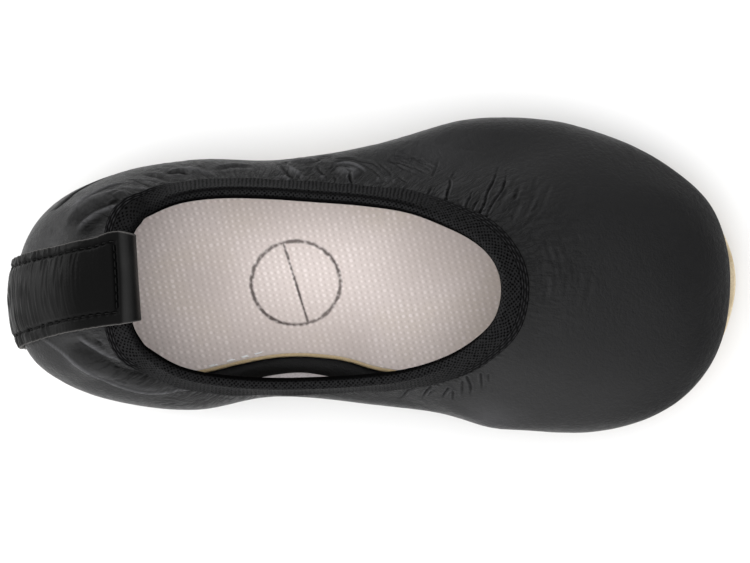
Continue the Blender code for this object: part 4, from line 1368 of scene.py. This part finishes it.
def wovenCotton():
    # Undyed cotton canvas: coarse nubs in slanting rows, painted soft shadows between them and painted
    # highlights on their tops, and a worn ink ring
    look = {"nub": "#f0e5e2", "cloth": "#ded2ce", "gap": "#c9bcb7", "warm": "#d9ccbf", "ink": "#4c4341",
            "shadeAndHeelPatch": "#ab9f99", "shadeShare": 0.42, "driftMm": 7.0, "driftReachMm": 0.4, "fibreMm": 0.3,
            "unevenMm": 1.3, "patchMm": 18.0, "reliefMm": 0.1, "inkWobbleMm": 0.6}
    material, add = newMaterial("wovenCotton", Roughness=0.9, Sheen_Weight=0.1, Sheen_Roughness=0.6,
                                Specular_IOR_Level=0.2)
    place = add("TexCoord", out="Object")
    drift = add("TexNoise", {"Vector": place, "Scale": perMm(look["driftMm"]), "Detail": 3.0}, out="Color")
    moved = add("MixRGB", {0: look["driftReachMm"] * mm, 1: place, 2: drift}, blend_type="LINEAR_LIGHT")
    yarns = []
    for yarn in ("warp", "weft"):
        way = waveVector(insole[yarn + "Mm"] * mm, insole[yarn + "Turn"]) * 2 * math.pi
        share = add("VectorMath", {0: moved, 1: (*way, 0.0)}, out="Value", operation="DOT_PRODUCT")
        yarns.append(add("Math", {0: share}, operation="COSINE"))
    level, onRow, row = insole["nubShares"]
    inRow = add("Math", {0: yarns[1], 1: 1.0}, operation="ADD")
    warp = add("Math", {0: yarns[0], 1: onRow, 2: row}, operation="MULTIPLY_ADD")
    nub = add("Math", {0: warp, 1: inRow, 2: level}, operation="MULTIPLY_ADD")
    fibre, uneven, patch = (
        add("TexNoise", {"Vector": place, "Scale": perMm(look[size]), "Detail": detail})
        for size, detail in (("fibreMm", 3.0), ("unevenMm", 1.0), ("patchMm", 2.0)))
    nubHeight = add("Math", {0: nub, 1: uneven}, operation="MULTIPLY")
    height = add("Math", {0: fibre, 1: 0.25, 2: nubHeight}, operation="MULTIPLY_ADD")
    bump = add("Bump", {"Height": height, "Distance": look["reliefMm"] * mm, "Strength": 0.8})

    warmth = add("MapRange", {0: patch, 1: 0.55, 2: 0.8, 3: 0.0, 4: 0.7})
    cloth = add("Mix", {0: warmth, 6: look["cloth"], 7: look["warm"]}, out=2, data_type="RGBA")
    # Painted shadow between the nubs and painted highlight on their tops
    low = add("MapRange", {0: nub, 1: 0.0, 2: 0.4, 3: 0.0, 4: 1.0})
    high = add("MapRange", {0: nubHeight, 1: 0.3, 2: 0.5, 3: 0.0, 4: 1.0})
    lowTone = add("Mix", {0: low, 6: look["gap"], 7: cloth}, out=2, data_type="RGBA")
    tone = add("Mix", {0: high, 6: lowTone, 7: look["nub"]}, out=2, data_type="RGBA")

    # Ink: a ring and a bar across it, thinner on the high nubs
    centre = (insole["stampX"] * mm, insole["stampY"] * mm, 0.0)
    fromCentre = add("VectorMath", {0: place, 1: centre}, operation="SUBTRACT")
    flat = add("VectorMath", {0: fromCentre, 1: insole["stampSquash"]}, operation="MULTIPLY")
    radius = add("VectorMath", {0: flat}, out="Value", operation="LENGTH")
    offRing = add("Math", {0: radius, 1: insole["stampRadius"] * mm}, operation="SUBTRACT")
    ringGap = add("Math", {0: offRing}, operation="ABSOLUTE")
    barWay = math.radians(insole["barTurn"])
    barSide = (-math.sin(barWay), math.cos(barWay), 0.0)
    offBar = add("VectorMath", {0: flat, 1: barSide}, out="Value", operation="DOT_PRODUCT")
    barSpan = add("Math", {0: offBar}, operation="ABSOLUTE")
    beyond = add("Math", {0: offRing, 1: 0.0}, operation="MAXIMUM")
    barGap = add("Math", {0: barSpan, 1: 1.35, 2: beyond}, operation="MULTIPLY_ADD")
    nearest = add("Math", {0: ringGap, 1: barGap}, operation="MINIMUM")
    wobble = add("Math", {0: uneven, 1: look["inkWobbleMm"] * mm, 2: nearest}, operation="MULTIPLY_ADD")
    stroke = insole["stampStroke"] * mm
    inked = add("MapRange", {0: wobble, 1: stroke * 0.6, 2: stroke * 1.2, 3: 1.0, 4: 0.0})
    fade = add("MapRange", {0: patch, 1: 0.35, 2: 0.65, 3: 0.95, 4: 0.6})
    thinned = add("MapRange", {0: nubHeight, 1: 0.2, 2: 0.5, 3: 1.0, 4: 0.6})
    even = add("Math", {0: inked, 1: fade}, operation="MULTIPLY")
    ink = add("Math", {0: even, 1: thinned}, operation="MULTIPLY")
    # Painted shade along the cloth's edges and under the vamp, and the darker heel patch
    clothShadeAndHeelPatch = add("Attribute", out="Fac", attribute_name="clothShadeAndHeelPatch")
    clothDarkening = add("Math", {0: clothShadeAndHeelPatch, 1: look["shadeShare"]}, operation="MULTIPLY")
    shadedCloth = add("Mix", {0: clothDarkening, 6: tone, 7: look["shadeAndHeelPatch"]}, out=2, data_type="RGBA")
    printed = add("Mix", {0: ink, 6: shadedCloth, 7: look["ink"]}, out=2, data_type="RGBA")
    setSockets(material, Base_Color=printed, Normal=bump)
    return material


def celluloseBoard():
    # Pressed cellulose board under the cloth, knife cut: ochre, matt and fibrous
    look = {"low": "#d3b88a", "high": "#f2dcb2", "grainMm": 0.5, "reliefMm": 0.12, "strength": 0.8}
    return grainedMaterial("celluloseBoard", look, "TexNoise", {"Detail": 4.0}, Roughness=0.92)


makeInsole(wovenCotton(), celluloseBoard())


# Loose fibres on the insole's cut edge at the arch

fibres = {
    "count": 24,
    "tufts": (-38.3, -34.6, -31.0, -28.0),  # x of each
    "spread": 0.2,
    "threadMm": 0.2,
    "lengthMm": 1.7,
    "turn": 16.0,
    "steps": 7,
    "inset": 0.8,  # from the board's edge, as a share of what shows of it
    "sag": (0.06, 0.15),  # how high the fibres lie, and how much higher their middles may be
}


def makeFibres(material):
    chance = np.random.default_rng(11)
    top = insole["under"] + insole["thickness"]
    inset = last["gap"] + insole["boardEdge"] * fibres["inset"]
    edge = overSole(turnedUnder(np.linspace(275, 312, 371), inset), top) + stand
    share = np.linspace(0, 1, fibres["steps"])
    lies, rises = fibres["sag"]
    paths = []
    for k in range(fibres["count"]):
        x = fibres["tufts"][k % len(fibres["tufts"])] + chance.normal(0, fibres["spread"])
        start = edge[np.abs(edge[:, 0] - x).argmin()]
        heading = math.radians(fibres["turn"]) + chance.uniform(-0.05, 0.05)
        length = fibres["lengthMm"] * chance.uniform(0.6, 1.2)
        bent = heading + chance.uniform(-0.12, 0.06) * share
        steps = np.stack((np.cos(bent), np.sin(bent), 0.0 * share), axis=1)
        path = start + np.cumsum(length / (fibres["steps"] - 1) * steps, axis=0)
        path[:, 1] += chance.uniform(-0.16, 0.06)
        path[:, 2] += lies + rises * chance.uniform(0.2, 1.0) * np.sin(share * np.pi)
        paths.append(path)
    radius = fibres["threadMm"] / 2 * np.ones(fibres["steps"])
    return addTubes("loose_fibres", paths, [radius] * len(paths), 5, material)


def cottonLint():
    # Cut ends of the insole's yarns: near white and quite dull
    return newMaterial("cottonLint", Roughness=0.9, Base_Color="#eff0f1")[0]


# Light tape inside the collar at the arch

archTape = {
    "turns": (293.0, 264.0),
    "runs": (2.5, 9.0),
    "bulge": 2.8,
    "thickness": 0.35,
    "columns": 60,
    "rows": 12,
}


def makeArchTape(material):
    rows, columns = archTape["rows"], archTape["columns"]
    turns = np.linspace(*archTape["turns"], columns)[None]
    shares = np.linspace(0, 1, rows)[:, None]
    firstRun, lastRun = archTape["runs"]
    runs = firstRun + (lastRun - firstRun) * shares
    middle = np.sin(np.linspace(0, np.pi, columns))[None] ** 0.8
    lies = -last["wall"] - last["tapeFold"] - 0.1
    offsets = lies - archTape["bulge"] * middle * np.sin(shares * np.pi * 0.62)
    front = offWall(turns, runs, offsets - archTape["thickness"])
    back = offWall(turns, runs, offsets)
    loop = np.concatenate((front, back[::-1]))
    caps = []
    for k in range(rows - 1):
        corners = np.array((k, 2 * rows - 1 - k, 2 * rows - 2 - k, k + 1)) * columns
        caps += [corners, corners[::-1] + columns - 1]
    faces = np.concatenate((gridFaces(2 * rows, columns, closeRows=True), np.array(caps)))
    return addPiece("arch_tape", loop, faces, [material])


def cottonTape():
    # Plain bleached cotton tape: pale grey, dull, with a fine straight weave
    look = {"low": "#b9b4b5", "high": "#8b8688", "grainMm": 0.5, "reliefMm": 0.06, "strength": 0.7}
    return grainedMaterial("cottonTape", look, "TexVoronoi", {}, Roughness=0.85)


makeArchTape(cottonTape())
makeFibres(cottonLint())


# Outsole

outsole = {"turns": 480, "edgeRound": 0.5, "edgeSteps": 4}


def makeOutsole(material):
    count = outsole["turns"]
    turns = np.arange(count) * 360.0 / count
    rim = readRound(rimOut, turns)
    edge, thick = outsole["edgeRound"], last["soleThickness"]
    angles = np.linspace(0, np.pi / 2, outsole["edgeSteps"] + 1)
    steps = [(edge * (1 - math.sin(a)), -thick + edge * (1 - math.cos(a))) for a in angles]
    steps += [(0.0, -thick / 2)]
    steps += [(edge * (1 - math.cos(a)), -edge * (1 - math.sin(a))) for a in angles]
    rings = np.array([overSole(turnedUnder(turns, inset - rim), height) for inset, height in steps]) + stand
    bottom = crossStrips(count)
    top = bottom[:, ::-1] + (len(steps) - 1) * count
    faces = np.concatenate((gridFaces(len(steps), count, closeColumns=True), bottom, top))
    return addPiece("sole_sheet", rings, faces, [material], "outsole")


def crepeRubber():
    # Thin sheet of natural crepe rubber, cut to shape: tan, dry and grainy, a little darker in its pores
    look = {"light": "#dccdb0", "dark": "#b39e7c", "grainMm": 0.5, "patchMm": 5.0, "reliefMm": 0.15}
    material, add = newMaterial("crepeRubber", Roughness=0.85)
    place = add("TexCoord", out="Object")
    grain, patch = (
        add("TexNoise", {"Vector": place, "Scale": perMm(look[size]), "Detail": detail})
        for size, detail in (("grainMm", 4.0), ("patchMm", 3.0)))
    blend = add("Math", {0: grain, 1: 0.6, 2: patch}, operation="MULTIPLY_ADD")
    share = add("MapRange", {0: blend, 1: 0.5, 2: 1.1, 3: 0.0, 4: 1.0})
    tone = add("Mix", {0: share, 6: look["dark"], 7: look["light"]}, out=2, data_type="RGBA")
    bump = add("Bump", {"Height": grain, "Distance": look["reliefMm"] * mm, "Strength": 0.9})
    setSockets(material, Base_Color=tone, Normal=bump)
    return material


makeOutsole(crepeRubber())


# Stage: a pale floor under a soft dome of light, brighter from the heel and the medial side

stage = {
    "floorSize": 4.0,
    "floor": "#dcdcdc",
    "dome": 1.58,
    "domeLean": (-0.72, -0.72, 0.0),
    "crown": 0.75,  # how much brighter the light is straight above
    "toeFlag": -1.0,  # and darker in front of the toe
    "least": 0.2,
}
floorMesh = bpy.data.meshes.new("floor")
half = stage["floorSize"] / 2
corners = [(-half, -half, 0), (half, -half, 0), (half, half, 0), (-half, half, 0)]
floorMesh.from_pydata(corners, [], [(0, 1, 2, 3)])
# Matt background paper: even and pale
paper = newMaterial("paperSweep", Base_Color=stage["floor"], Roughness=0.9, Specular_IOR_Level=0.1)[0]
floorMesh.materials.append(paper)
floor = bpy.data.objects.new("floor", floorMesh)
bpy.context.scene.collection.objects.link(floor)

softboxes = (  # name, place, size, power
    ("heelSoftbox", (-0.75, 0.42, 0.20), (0.8, 0.3), 5.0),
    ("medialSoftbox", (-0.45, -0.75, 0.25), (1.0, 0.3), 2.0),
)
for name, place, size, power in softboxes:
    light = bpy.data.lights.new(name, "AREA")
    light.shape = "RECTANGLE"
    light.size, light.size_y = size
    light.energy = power
    lamp = bpy.data.objects.new(name, light)
    lamp.location = place
    lamp.rotation_euler = (-Vector(place)).to_track_quat("-Z", "Y").to_euler()
    bpy.context.scene.collection.objects.link(lamp)

world = bpy.data.worlds.new("studio")
world.use_nodes = True
bpy.context.scene.world = world
sky = world.node_tree
addSky = partial(addNode, sky)
way = addSky("TexCoord", out="Generated")
lean = addSky("VectorMath", {0: way, 1: stage["domeLean"]}, out="Value", operation="DOT_PRODUCT")
upWay = addSky("SeparateXYZ", {0: way}, out="Z")
toeWay = addSky("SeparateXYZ", {0: way}, out="X")
brightest = stage["dome"] + stage["crown"]
crown = addSky("MapRange", {0: upWay, 1: 0.5, 2: 1.0, 3: stage["dome"], 4: brightest})
flag = addSky("MapRange", {0: toeWay, 1: 0.6, 2: 1.0, 3: 0.0, 4: stage["toeFlag"]})
shaded = addSky("Math", {0: lean, 1: flag}, operation="ADD")
level = addSky("Math", {0: shaded, 1: crown}, operation="ADD")
glow = addSky("Math", {0: level, 1: stage["least"]}, operation="MAXIMUM")
setInput(sky, sky.nodes["Background"].inputs["Color"], glow)
bpy.context.scene.view_settings.view_transform = "Standard"
print("stage lit: %d softboxes" % len(softboxes))

bpy.context.view_layer.update()
